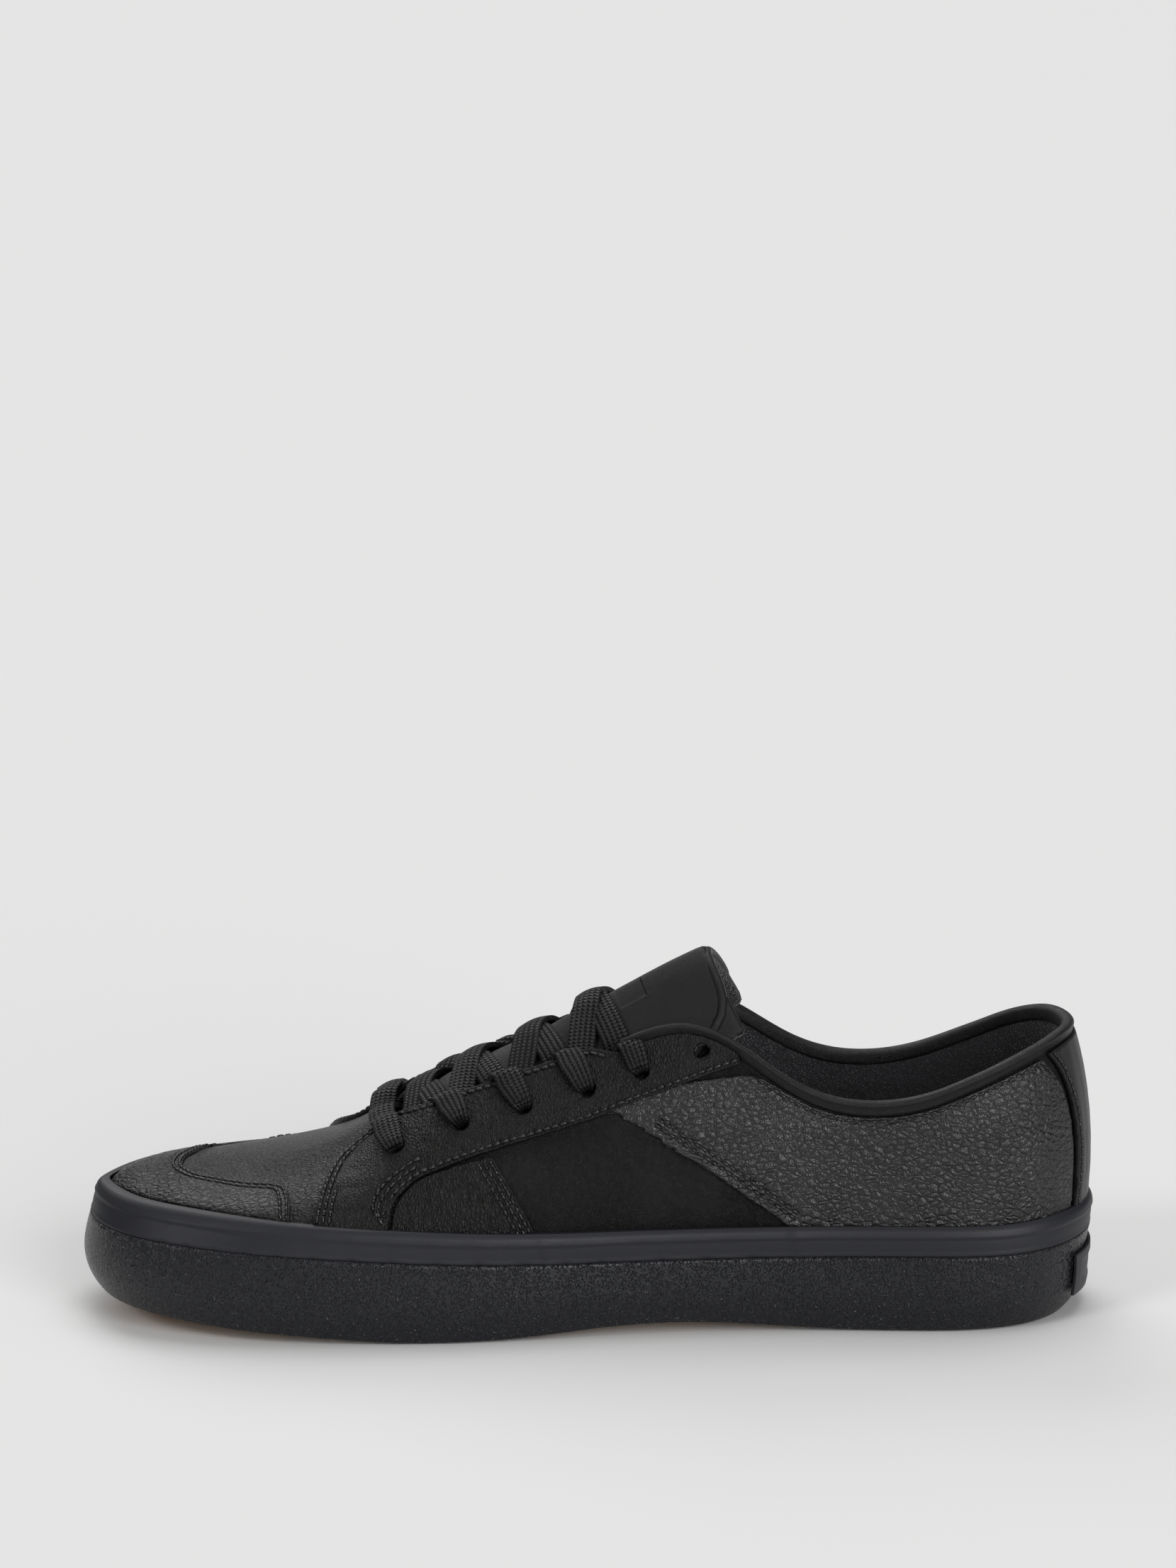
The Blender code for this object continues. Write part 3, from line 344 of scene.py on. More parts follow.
strip = worked_copy("foxing_strip", "foxing_tape")
rounded(strip, 3)
points, normals = points_of(strip), normals_of(strip)
below = rim_height(points[:, 0]) - points[:, 2]
out = np.hypot(normals[:, 0], normals[:, 1]) * ease((below + 0.5 * MM) / (0.6 * MM))
profile = LIP_OUT * ease((LIP_HEIGHT - below) / (0.5 * MM)) * ease(below / (1.2 * MM))
profile += STEP_LINE * np.exp(-(((below - STRIP_HEIGHT + 0.8 * MM) / (0.35 * MM)) ** 2))
for joint in TAPE_JOINTS:
    past = points[:, 0] - joint - LAP_SLANT * below
    profile += (points[:, 1] < 0) * LAP * ease(past / (0.7 * MM)) * np.exp(-np.maximum(past, 0) / LAP_FADE)
points += normals * (profile * out)[:, None]
points[:, 2] += LIP_UP * ease((1.6 * MM - below) / (1.6 * MM))
points[:, 2] -= 0.4 * MM * ease((below - STRIP_HEIGHT + 1.0 * MM) / (0.8 * MM))
move_points(strip, points)
strip.data.shade_smooth()
finish_piece(strip, smooth_rubber, "foxing_rubber", "foxing_strip")

# Heel label: a bare moulded rubber patch, with a raised frame round a sunk field. It is glued on
# the back of the side wall.
LABEL_FIELD = (17 * MM, 3.6 * MM)
LABEL_SINK = 0.5 * MM

label = worked_copy("heel_label", "heel_patch")
rounded(label, 3, 0.9)
points, normals = points_of(label), normals_of(label)
middle = (points.min(0) + points.max(0)) / 2
inside = ease((LABEL_FIELD[0] - np.abs(points[:, 1] - middle[1])) / (1.0 * MM))
inside *= ease((LABEL_FIELD[1] - np.abs(points[:, 2] - middle[2])) / (0.8 * MM)) * (normals[:, 0] > 0.5)
move_points(label, points - normals * (inside * LABEL_SINK)[:, None])
label.data.shade_smooth()
finish_piece(label, smooth_rubber, "foxing_rubber", "heel_label")

# Outsole: a gum rubber tread sheet with cross grooves and a fine waffle, glued under the sole
# inside its side wall.
gum = Finish("gum_rubber", Roughness=0.62, Specular_IOR_Level=0.35)
waffle = gum.cells(gum.place(turn=(0, 0, math.radians(45))), 260)
speckle = gum.noise(gum.place(), 1400, 3.0)
gum.feed(Base_Color=gum.mix(speckle, (0.34, 0.19, 0.085), (0.47, 0.28, 0.135)))
gum.feed(Normal=gum.bump(waffle.step(0.03, 0.14), 0.6 * MM, 0.9))
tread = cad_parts["outsole"]
tread.data.materials.clear()
tread.data.materials.append(gum.material)

# Insole: a foam sock topped with navy-black cloth, cut to the footbed and laid inside the upper
# on the sole.
sock_cloth = Finish("sock_cloth", Base_Color=(0.010, 0.010, 0.015), Roughness=0.95, Sheen_Weight=0.2)
sock_weave = sock_cloth.cells(sock_cloth.place(), 1300)
sock_cloth.feed(Normal=sock_cloth.bump(sock_weave, 0.2 * MM, 0.7))
sock = worked_copy("insole", "sock")
rounded(sock, 2, 0.6)
sock.data.shade_smooth()
finish_piece(sock, sock_cloth, "sock_cloth", "insole")


# Leathers: drum-dyed black hide. The grain is a net of creases round raised pebbles.
def leather_finish(name, pebbles, depth, roughness, stretch=(1, 1, 1), turn=(0, 0, 0), hair=0.0, gloss=0.30):
    """Black leather with domed pebbles of a size in cells a metre, and a finer pore grain on them. Its
    creases are painted darker, as painted shade, and its tone is mottled.
    """
    made = Finish(name, Specular_IOR_Level=gloss)
    spot = made.stirred(made.place(turn, stretch), 380, 0.0016)
    net = (made.cells(spot, pebbles) * 2.2) ** 0.6
    fine = (made.cells(made.stirred(made.place(), 900, 0.0005), pebbles * 2.7) * 2.2) ** 0.7
    wide = made.noise(made.place(), 38, 3.0)
    streak = made.noise(made.place(turn, (1, 1, 0.12)), 1700, 2.0)
    patch = wide.step(0.38, 0.62)
    height = net * (0.55 + patch * 0.45) + fine * 0.20 + streak * hair
    # Base colour: painted shade darkens the creases round the pebbles, and wide patches mottle the tone.
    crease_shade_and_mottle = made.mix(net * 0.7 + patch * 0.3, (0.0025, 0.0024, 0.0023), (0.0075, 0.0073, 0.0070))
    made.feed(Base_Color=crease_shade_and_mottle)
    made.feed(Roughness=roughness + 0.14 - net * 0.14 + wide * 0.08)
    made.feed(Normal=made.bump(height, depth))
    return made


LEAN_BACK = (0, 0.5, 0)
LEAN_FORWARD = (0, -0.5, 0)

vamp_leather = leather_finish("vamp_leather", 760, 0.36 * MM, 0.24, (0.8, 1, 1.2))
cap_leather = leather_finish("cap_leather", 500, 0.52 * MM, 0.24, (0.75, 1, 1.3), LEAN_BACK, gloss=0.38)
quarter_leather = leather_finish(
    "quarter_leather", 450, 0.44 * MM, 0.25, (0.8, 1, 1.25), LEAN_BACK, gloss=0.55
)
facing_leather = leather_finish(
    "facing_leather", 900, 0.28 * MM, 0.22, (1.3, 1, 0.6), LEAN_FORWARD, hair=0.5, gloss=0.22
)
panel_leather = leather_finish("panel_leather", 1900, 0.30 * MM, 0.32)
smooth_leather = leather_finish("smooth_leather", 2300, 0.10 * MM, 0.26)

# Lining: dark navy spacer mesh with small round cells.
lining_cloth = Finish("lining_cloth", Roughness=0.9, Sheen_Weight=0.35, Sheen_Roughness=0.5)
knit = lining_cloth.cells(lining_cloth.place(scale=(1, 1, 1.3)), 1050).step(0.08, 0.35)
lining_cloth.feed(Base_Color=lining_cloth.mix(knit, (0.004, 0.004, 0.006), (0.016, 0.016, 0.026)))
lining_cloth.feed(Normal=lining_cloth.bump(knit, 0.35 * MM, 0.9))

# Upper: one wall of leather, lasted over the foot's form and lined with mesh. Its bare middle is
# the smooth side panel, and its front the vamp.
PANEL_FRONT = -50 * MM
FOOT_MIDDLE = (0.0, -0.003, 0.030)
FOOT_REACH = 0.10
VAMP, PANEL, LINING = range(3)


def tree_of(*names):
    """A search tree over the faces of some solids of the frame, or of finished pieces."""
    points, faces = [], []
    for name in names:
        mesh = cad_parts[name].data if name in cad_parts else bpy.data.objects[name].data
        start = len(points)
        points += [v.co.copy() for v in mesh.vertices]
        faces += [[start + v for v in p.vertices] for p in mesh.polygons]
    return BVHTree.FromPolygons(points, faces)


def leathery(piece, voxel, rounds):
    """Give a piece one even skin with soft edges, fine enough to carry creases."""
    modify(piece, "REMESH", mode="VOXEL", voxel_size=voxel)
    modify(piece, "SMOOTH", factor=0.5, iterations=rounds)
    piece.data.shade_smooth()


def outward(points):
    """Directions from the foot's inside to places on the shoe."""
    axis = np.full(points.shape, FOOT_MIDDLE)
    axis[:, 0] = np.clip(points[:, 0], -FOOT_REACH, FOOT_REACH)
    return points - axis


def face_arrays(piece):
    count = len(piece.data.polygons)
    centres, normals = np.empty(count * 3), np.empty(count * 3)
    piece.data.polygons.foreach_get("center", centres)
    piece.data.polygons.foreach_get("normal", normals)
    return centres.reshape(-1, 3), normals.reshape(-1, 3)


upper = worked_copy("upper", "upper_wall")
rounded(upper)
leathery(upper, 1.0 * MM, 5)
for made in (vamp_leather, panel_leather, lining_cloth):
    upper.data.materials.append(made.material)
centres, normals = face_arrays(upper)
inward = np.einsum("ij,ij->i", normals, outward(centres)) < 0
kinds = np.where(inward, LINING, np.where(centres[:, 0] > PANEL_FRONT, PANEL, VAMP))
upper.data.polygons.foreach_set("material_index", kinds.astype(np.int32))
finish_piece(upper, None, "vamp_leather", "upper")

# Overlays: cut leather pieces stitched flat on the upper, with their edges turned in. They lie on
# its wall as the solids have it.
CAD_WALL = tree_of("upper")
GROOVE_DEPTH = 0.32 * MM
GROOVE_HALF = 0.95 * MM
FOLD_WIDTH = 2.2 * MM
GAP = 0.5 * MM
SUNK = 0.35 * MM
LOWERED = 0.35 * MM
TUCKED = 1.2 * MM
THICKNESS = {"toe_cap": 0.8 * MM, "side_panel": 0.8 * MM, "quarter": 1.1 * MM, "eyestay": 1.5 * MM,
             "heel_strip": 1.9 * MM}


def borders(node, thickness):
    """The closed edge loops of an overlay's face, the longest first; the short ones are its holes."""
    shape = bmesh.new()
    shape.from_mesh(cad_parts[node].data)
    bmesh.ops.remove_doubles(shape, verts=shape.verts, dist=0.03 * MM)
    high = {v: CAD_WALL.find_nearest(v.co)[3] > GAP + thickness / 2 for v in shape.verts}
    joined = {}
    for edge in shape.edges:
        tops = [f for f in edge.link_faces if all(high[v] for v in f.verts)]
        if len(tops) == 1:
            a, b = edge.verts
            joined.setdefault(a, []).append(b)
            joined.setdefault(b, []).append(a)
    loops, seen = [], set()
    for start in joined:
        if start in seen:
            continue
        loop, now = [], start
        while now is not None:
            seen.add(now)
            loop.append(np.array(now.co))
            now = next((v for v in joined[now] if v not in seen), None)
        if len(loop) > 5:
            loops.append(np.array(loop))
    shape.free()
    return sorted(loops, key=lambda loop: -loop_length(loop))


def loop_length(points):
    return float(np.linalg.norm(np.diff(points, axis=0), axis=1).sum())


def stretch(loop, start, end, via):
    """The run of a loop from near one place to near another, by way of a third."""
    def nearest(place):
        return int(np.argmin(np.linalg.norm(loop - np.array(place) * MM, axis=1)))

    a, b, c = nearest(start), nearest(end), nearest(via)
    count = len(loop)
    ahead = [(a + k) % count for k in range((b - a) % count + 1)]
    behind = [(a - k) % count for k in range((a - b) % count + 1)]
    return loop[ahead if c in ahead else behind]


def evenly(path, spacing):
    """Points along a path at an even spacing."""
    run = np.concatenate([[0], np.cumsum(np.linalg.norm(np.diff(path, axis=0), axis=1))])
    marks = np.arange(spacing / 2, run[-1], spacing)
    return np.stack([np.interp(marks, run, path[:, k]) for k in range(3)], 1)


def eased(path, rounds=3):
    """A path with its corners eased, its ends kept."""
    path = path.copy()
    for _ in range(rounds):
        path[1:-1] = (path[:-2] + 2 * path[1:-1] + path[2:]) / 4
    return path


def off_wall(point):
    """The direction from the wall of the upper to a place above it."""
    return (Vector(point) - CAD_WALL.find_nearest(Vector(point))[0]).normalized()


def inset(path, surface, distance):
    """A path moved across a surface, away from the edge that it follows."""
    path = eased(evenly(path, 1.0 * MM), 3)
    moved = []
    for i, point in enumerate(path):
        run = Vector(path[min(i + 1, len(path) - 1)] - path[max(i - 1, 0)]).normalized()
        across = off_wall(point).cross(run).normalized()
        tries = [surface.find_nearest(Vector(point) + across * way * 3 * MM)[3] for way in (1, -1)]
        moved.append(np.array(across) * (1 if tries[0] < tries[1] else -1))
    moved = np.array(moved)
    for _ in range(4):
        moved[1:-1] = (moved[:-2] + 2 * moved[1:-1] + moved[2:]) / 4
    ends = [np.array(surface.find_nearest(Vector(p + m * distance))[0]) for p, m in zip(path, moved)]
    return eased(np.array(ends), 4)


# Main creases of the overlays, listed on the shoe's own places. In mm, seen from a side:
# from x and z, to x and z, half width, depth.
CREASES = (
    (-49, 57, -42, 56, 0.9, 0.22),
    (-50, 53, -43, 50, 1.0, 0.20),
    (-46, 60, -39, 62, 0.8, 0.18),
    (-31, 61, -25, 62, 0.9, 0.20),
    (-30, 58, -23, 57, 1.1, 0.18),
    (-13, 66, -5, 68, 0.9, 0.20),
    (-11, 63, -3, 62, 1.1, 0.18),
    (5, 71, 12, 73, 1.0, 0.20),
    (7, 68, 15, 69, 1.1, 0.18),
    (22, 77, 29, 80, 0.9, 0.20),
    (40, 78, 46, 77, 1.0, 0.20),
    (84, 43, 92, 50, 1.1, 0.18),
    (90, 41, 98, 50, 1.0, 0.16),
    (96, 40, 103, 47, 0.9, 0.14),
    (70, 46, 76, 54, 1.1, 0.12),
)
PUCKER = {"first": -40, "last": 30, "pitch": 2.3, "length": 5.0, "depth": 0.16}


def crease_heights(points):
    """How far places sink or rise for the creases: each is a trough with a soft ridge beside it."""
    height = np.zeros(len(points))
    flat = points[:, [0, 2]]
    for x0, z0, x1, z1, half, depth in CREASES:
        a, b = np.array((x0, z0)) * MM, np.array((x1, z1)) * MM
        run = b - a
        t = np.clip(((flat - a) @ run) / (run @ run), -0.1, 1.1)
        away = np.linalg.norm(flat - a - t[:, None] * run, axis=1) / (half * MM)
        ends = ease(1.2 - np.abs(2 * t - 1))
        height -= depth * MM * ends * (np.exp(-(away**2)) - 0.5 * np.exp(-((away - 1.9) ** 2)))
    return height


def tree_near(places):
    """A search tree over places."""
    tree = KDTree(len(places))
    for i, place in enumerate(places):
        tree.insert(Vector(place), i)
    tree.balance()
    return tree


def pucker_heights(points, seam):
    """Short puckers that stand across a seam, where the thread draws the leather in."""
    tree = tree_near(seam)
    height = np.zeros(len(points))
    for i, point in enumerate(points):
        if not PUCKER["first"] * MM < point[0] < PUCKER["last"] * MM:
            continue
        away = tree.find(Vector(point))[2]
        if away < PUCKER["length"] * MM:
            phase = point[0] / (PUCKER["pitch"] * MM) + 0.35 * math.sin(point[0] / (3.1 * MM))
            fade = math.exp(-((away / MM - 1.2) / 2.6) ** 2)
            fade *= 0.65 + 0.35 * math.sin(point[0] / (5.3 * MM))
            height[i] = PUCKER["depth"] * MM * fade * math.sin(2 * math.pi * phase)
    return height


def pressed(piece, rows, edge=None, swell=0.0):
    """Press stitch rows into a piece as soft grooves, and swell its turned-in edge."""
    points, normals = points_of(piece), normals_of(piece)
    grooves = tree_near(np.concatenate([evenly(row, 0.5 * MM) for row in rows]))
    height = np.zeros(len(points))
    for i, point in enumerate(points):
        away = grooves.find(Vector(point))[2]
        if away < 3 * GROOVE_HALF:
            height[i] -= GROOVE_DEPTH * math.exp(-((away / GROOVE_HALF) ** 2))
    if edge is not None:
        fold = tree_near(edge)
        for i, point in enumerate(points):
            away = fold.find(Vector(point))[2]
            if away < FOLD_WIDTH:
                height[i] += swell * math.cos(math.pi / 2 * away / FOLD_WIDTH) ** 2
    move_points(piece, points + normals * height[:, None])


def seat(piece, thickness):
    """Lower an overlay onto the wall, sink its underside and tuck its foot behind the rim of the sole."""
    points = points_of(piece)
    foot = points[:, 2] - rim_height(points[:, 0])
    for i, point in enumerate(points):
        place, _, _, away = CAD_WALL.find_nearest(Vector(point))
        way = (Vector(point) - place).normalized()
        share = min(max((GAP + thickness - away) / thickness, 0.0), 1.0)
        points[i] = Vector(point) - way * (LOWERED + share * (away - LOWERED + SUNK))
    points[:, 2] -= TUCKED * ease((3.0 * MM - foot) / (2.5 * MM))
    move_points(piece, points)


def overlay(node, kind, voxel, rounds=4):
    """An overlay of the frame, rounded, seated and given a leathery skin, with the loops of its edges."""
    piece = worked_copy(node, node + "_leather")
    rounded(piece)
    seat(piece, THICKNESS[kind])
    leathery(piece, voxel, rounds)
    return piece, borders(node, THICKNESS[kind])


# Stitches: black waxed thread, each stitch a small plump bead pressed into the leather. They hold
# the overlays on the upper, in rows along their edges.
STITCH_PITCH = 2.5 * MM
STITCH_LENGTH = 2.35 * MM
STITCH_WIDTH = 1.05 * MM
STITCH_HEIGHT = 0.95 * MM
STITCH_RISE = 0.10 * MM
STITCH_SWAY = 0.05
rng = np.random.default_rng(7)

thread = Finish("thread", Base_Color=(0.004, 0.004, 0.0043), Roughness=0.26, Specular_IOR_Level=0.45)
twist = thread.noise(thread.place((0.4, 0.6, 0.7), (1, 1, 0.3)), 3500, 1.0)
thread.feed(Normal=thread.bump(twist, 0.12 * MM, 0.8))

bpy.ops.object.select_all(action="DESELECT")
bpy.ops.mesh.primitive_uv_sphere_add(segments=8, ring_count=6, radius=0.5)
stitch = bpy.context.object
stitch_points = points_of(stitch)[:, [2, 0, 1]]
stitch_points[:, 0] = np.sign(stitch_points[:, 0]) * np.abs(stitch_points[:, 0]) ** 0.8 * 0.5**0.2
stitch_faces = [list(p.vertices) for p in stitch.data.polygons]
bpy.data.objects.remove(stitch)


def sewn(name, rows, piece):
    """Rows of stitches along paths on a piece, joined into one mesh."""
    surface = tree_of(piece.name)
    points, faces = [], []
    size = np.array([STITCH_LENGTH, STITCH_WIDTH, STITCH_HEIGHT])
    for path in rows:
        marks = evenly(path, STITCH_PITCH)
        for i, mark in enumerate(marks):
            run = Vector(marks[min(i + 1, len(marks) - 1)] - marks[max(i - 1, 0)]).normalized()
            place = surface.find_nearest(Vector(mark))[0]
            normal = off_wall(mark)
            across = normal.cross(run).normalized()
            run = (across.cross(normal) + across * rng.normal(0, STITCH_SWAY)).normalized()
            across = normal.cross(run)
            start = len(points)
            turn = np.array([run, across, normal])
            points += list((stitch_points * size) @ turn + np.array(place + normal * STITCH_RISE))
            faces += [[start + v for v in face] for face in stitch_faces]
    mesh = bpy.data.meshes.new(name)
    mesh.from_pydata(points, [], faces)
    mesh.shade_smooth()
    made = bpy.data.objects.new(name, mesh)
    scene.collection.objects.link(made)
    finish_piece(made, thread, "lace_braid")


# Side panels, quarters and facings, alike on both sides: cut leather, stitched down in that order.
# A quarter's front edge is folded, and it reaches a little way under the facing's seam.
REACH = 5 * MM
UNDER = 2.6 * MM
TOUCH = 0.4 * MM
SWELL = 0.45 * MM
HOLE_EDGE = 25 * MM

EYELETS = {}
for side, which in ((-1, "inner"), (1, "outer")):
    def at(x, y, z):
        """A place on this side: the shoe's middle lies a little to the inner side."""
        return (x, side * y - 2, z)

    panel, loops = overlay("side_panel_" + which, "side_panel", 0.5 * MM)
    surface = tree_of(panel.name)
    rear = stretch(loops[0], at(-15, 43, 33), at(-27.5, 37, 53), at(-21, 41, 43))
    rows = [inset(rear, surface, d * MM) for d in (1.5, 3.2, 4.9)]
    pressed(panel, rows)
    sewn("panel_stitches_" + which, rows, panel)
    finish_piece(panel, facing_leather, "overlay_leather", "side_panel_" + which)

    quarter, loops = overlay("quarter_" + which, "quarter", 0.55 * MM)
    facing = tree_of("eyestay_" + which)
    points = points_of(quarter)
    for i, point in enumerate(points):
        place, _, _, away = facing.find_nearest(Vector(point), REACH)
        if place:
            points[i] += np.array(place - Vector(point)) * UNDER / REACH * (REACH / max(away, TOUCH) - 1)
    move_points(quarter, points)
    surface = tree_of(quarter.name)
    front = stretch(loops[0], at(59, 35, 32), at(13, 34, 60), at(35, 37, 48))
    collar = stretch(loops[0], at(50, 28, 76), at(136, 18, 79), at(82, 32, 68))
    rows = [inset(front, surface, d * MM) for d in (2.6, 4.4)] + [inset(collar, surface, 1.2 * MM)]
    pressed(quarter, rows, edge=evenly(front, 0.7 * MM), swell=SWELL)
    points = points_of(quarter)
    move_points(quarter, points + normals_of(quarter) * crease_heights(points)[:, None])
    sewn("quarter_stitches_" + which, rows, quarter)
    finish_piece(quarter, quarter_leather, "quarter_leather", "quarter_" + which)

    eyestay, loops = overlay("eyestay_" + which, "eyestay", 0.5 * MM)
    surface = tree_of(eyestay.name)
    holes = [loop.mean(0) for loop in loops[1:] if loop_length(loop) < HOLE_EDGE]
    EYELETS[side] = sorted(holes, key=lambda centre: centre[0])
    outline = loops[0]
    leg_front = stretch(outline, at(-79, 46, 35), at(-62, 14, 58), at(-72, 20, 50))
    leg_rear = stretch(outline, at(-57, 46, 35), at(-47, 40, 48), at(-54, 43, 42))
    foot = stretch(outline, at(-57, 46, 35), at(44, 30, 79), at(0, 34, 62))
    throat = stretch(outline, at(-62, 14, 58), at(6, 22, 83), at(-20, 20, 73))
    low = leg_front[: max(3, int(len(leg_front) * 0.6))]
    rows = [inset(leg_front, surface, d * MM) for d in (1.3, 3.0)] + [inset(low, surface, 4.8 * MM)]
    rows += [inset(foot, surface, 1.4 * MM)] + [inset(leg_rear, surface, d * MM) for d in (3.6, 5.8)]
    rows += [inset(throat, surface, 1.7 * MM)]
    pressed(eyestay, rows)
    points = points_of(eyestay)
    height = crease_heights(points) + pucker_heights(points, evenly(foot, 0.7 * MM))
    move_points(eyestay, points + normals_of(eyestay) * height[:, None])
    sewn("facing_stitches_" + which, rows, eyestay)
    finish_piece(eyestay, facing_leather, "overlay_leather", "eyestay_" + which)

# Toe cap: a grained leather overlay round the toe, stitched down twice along its U-shaped rear edge.
# Its outer arm lies lower on the foot than its inner one.
FAR_ARM = -119 * MM
ARM_SLIDE = Vector((0, 11 * MM, -6 * MM))


def slid(points):
    """Places on the toe cap, with those of its outer arm slid down the wall."""
    moved = points.copy()
    share = ease((points[:, 0] - FAR_ARM) / (12 * MM)) * ease(points[:, 1] / (12 * MM))
    share *= ease((points[:, 2] - rim_height(points[:, 0])) / (4 * MM))
    for i in np.flatnonzero(share > 0.01):
        point = Vector(points[i])
        off = (point - CAD_WALL.find_nearest(point)[0]).length
        place = CAD_WALL.find_nearest(point + ARM_SLIDE * share[i])[0]
        moved[i] = place + off_wall(point) * off
    return moved


toe_cap, loops = overlay("toe_cap", "toe_cap", 0.5 * MM)
move_points(toe_cap, slid(points_of(toe_cap)))
cap_edge = slid(stretch(loops[0], (-86, -46, 37), (-86, 42, 37), (-118, -5, 43)))
rows = [inset(cap_edge, tree_of(toe_cap.name), d * MM) for d in (1.0, 2.9)]
pressed(toe_cap, rows)
sewn("toe_cap_stitches", rows, toe_cap)
finish_piece(toe_cap, cap_leather, "overlay_leather", "toe_cap")

# Heel strip: a bare back stay of smooth leather over the heel seam, stitched down along both of
# its edges.
heel_strip, loops = overlay("heel_strip", "heel_strip", 0.6 * MM, 5)
surface = tree_of(heel_strip.name)
rows = []
for side in (-1, 1):
    edge = stretch(loops[0], (141, 21 * side - 2, 33), (133, 22 * side - 2, 83), (141, 21 * side - 2, 55))
    rows.append(inset(edge, surface, 1.9 * MM))
pressed(heel_strip, rows)
sewn("heel_stitches", rows, heel_strip)
finish_piece(heel_strip, smooth_leather, "smooth_leather", "heel_strip")

# Collar binding: a strip of smooth leather rolled over the cut edge of the collar and glued down,
# with its inner lip reaching lower.
BINDING_DROP = 2.0 * MM

binding = worked_copy("collar_binding", "rolled_binding")
modify(binding, "SUBSURF", levels=3, render_levels=3)
points, normals = points_of(binding), normals_of(binding)
inner_lip = ease(-np.einsum("ij,ij->i", normals, outward(points)) / (10 * MM))
points[:, 2] -= BINDING_DROP * ease(0.5 - normals[:, 2]) * inner_lip
move_points(binding, points)
binding.data.shade_smooth()
finish_piece(binding, smooth_leather, "smooth_leather", "collar_binding")

# Tongue: a padded slab, smooth leather in front and mesh behind, its top edge piped. A plain sunk
# patch lies near its top.
PIPING = 1.5 * MM
TONGUE_RISE = math.radians(30)
PATCH_ALONG = (54.0 * MM, 62.5 * MM)
PATCH_ACROSS = (-13 * MM, 8 * MM)

tongue_leather = leather_finish("tongue_leather", 1700, 0.07 * MM, 0.40)
slope = tongue_leather.axis("X") * math.cos(TONGUE_RISE) + tongue_leather.axis("Z") * math.sin(TONGUE_RISE)
patch = slope.band(*PATCH_ALONG, 0.25 * MM) * tongue_leather.axis("Y").band(*PATCH_ACROSS, 0.25 * MM)
under = tongue_leather.shader.inputs["Normal"].links[0].from_socket
sunk = tongue_leather.bump(1.0 - patch, 0.3 * MM, 1.0, Wire(tongue_leather, under))
tongue_leather.feed(Normal=sunk)

tongue = worked_copy("tongue", "padded_tongue")
rounded(tongue, 2, 0.7)
leathery(tongue, 0.9 * MM, 6)
for made in (tongue_leather, lining_cloth):
    tongue.data.materials.append(made.material)
centres, normals = face_arrays(tongue)
behind = (np.einsum("ij,ij->i", normals, outward(centres)) < 0).astype(np.int32)
tongue.data.polygons.foreach_set("material_index", behind)
finish_piece(tongue, None, "smooth_leather", "tongue")

corner = np.array([0.75, 0.72])
points = points_of(tongue)
rim = []
for y in np.linspace(points[:, 1].min() + 1.5 * MM, points[:, 1].max() - 1.5 * MM, 26):
    near = points[np.abs(points[:, 1] - y) < 0.9 * MM]
    spot = near[np.argmax(near[:, [0, 2]] @ corner)]
    rim.append((spot[0], y, spot[2]))
rim = eased(np.array(rim), 6)
curve = bpy.data.curves.new("tongue_piping", "CURVE")
curve.dimensions = "3D"
curve.bevel_depth = PIPING
curve.bevel_resolution = 4
curve.use_fill_caps = True
line = curve.splines.new("POLY")
line.points.add(len(rim) - 1)
for spot, point in zip(line.points, rim + np.array([-0.2 * MM, 0, -0.9 * MM])):
    spot.co = (*point, 1)
holder = bpy.data.objects.new("tongue_piping", curve)
scene.collection.objects.link(holder)
pick(holder)
bpy.ops.object.convert(target="MESH")
piping = bpy.context.object
piping.data.shade_smooth()
finish_piece(piping, smooth_leather, "smooth_leather")

# Lace: one flat braid of black yarn with pale flecks. It runs through the lower five pairs of
# holes, and its ends are hidden inside at the fifth.
LACE_WIDTH = 7.8 * MM
LACE_THICKNESS = 1.5 * MM
LACE_LIFT = 0.85 * MM
LACE_CROWN = 0.7 * MM
LACE_EDGE = 0.7 * MM
HOLE_WIDTH = 4.2 * MM
PINCHED = 0.70 * LACE_WIDTH
BAR_SWAY = 3.6 * MM
BAR_ARCH = 1.8 * MM
HUMP = 1.5 * MM
STARTS = {
    "x": (-50.0, -36.8, -19.4, -1.9),
    "inner_y": (-19.5, -21.6, -21.6, -21.7),
    "outer_y": (15.1, 16.7, 16.6, 16.8),
}
FACES = tree_of("padded_tongue", "eyestay_inner_leather", "eyestay_outer_leather", "upper_wall")


def drop_on(x, y):
    """The highest surface at a plan place, with its normal."""
    place, normal, _, _ = FACES.ray_cast(Vector((x, y, 0.2)), Vector((0, 0, -1)))
    return place, normal


def out_of(centre):
    """The direction out of a lace hole."""
    return CAD_WALL.find_nearest(centre + Vector((0, 0.004 * (1 if centre.y > 0 else -1), -0.004)))[1]


def start_of(i, side):
    """Where a strand comes out from under the facing's edge."""
    return STARTS["x"][i] * MM, STARTS["inner_y" if side == -1 else "outer_y"][i] * MM


def crossing(i, side):
    """Marks of the strand that leaves one side's edge and ends in the next hole of the other side."""
    over = side == -1
    x0, y0 = start_of(i, side)
    end = Vector(EYELETS[-side][i + 1])
    marks = []
    for t in np.linspace(0.06, 0.90, 13):
        x, y = x0 + (end.x - x0) * t ** (1.45 if over else 1.9), y0 + (end.y - y0) * t
        place, normal = drop_on(x, y)
        hump = np.interp(t, (0, 0.15, 0.28, 0.45, 0.66), (0, 0.3, 1, 1, 0)) * (HUMP if over else 0)
        marks.append((place + normal * (LACE_LIFT + hump), LACE_WIDTH))
    marks.append((end + out_of(end) * 0.5 * MM + (Vector(marks[-1][0]) - end) * 0.12, PINCHED))
    return marks


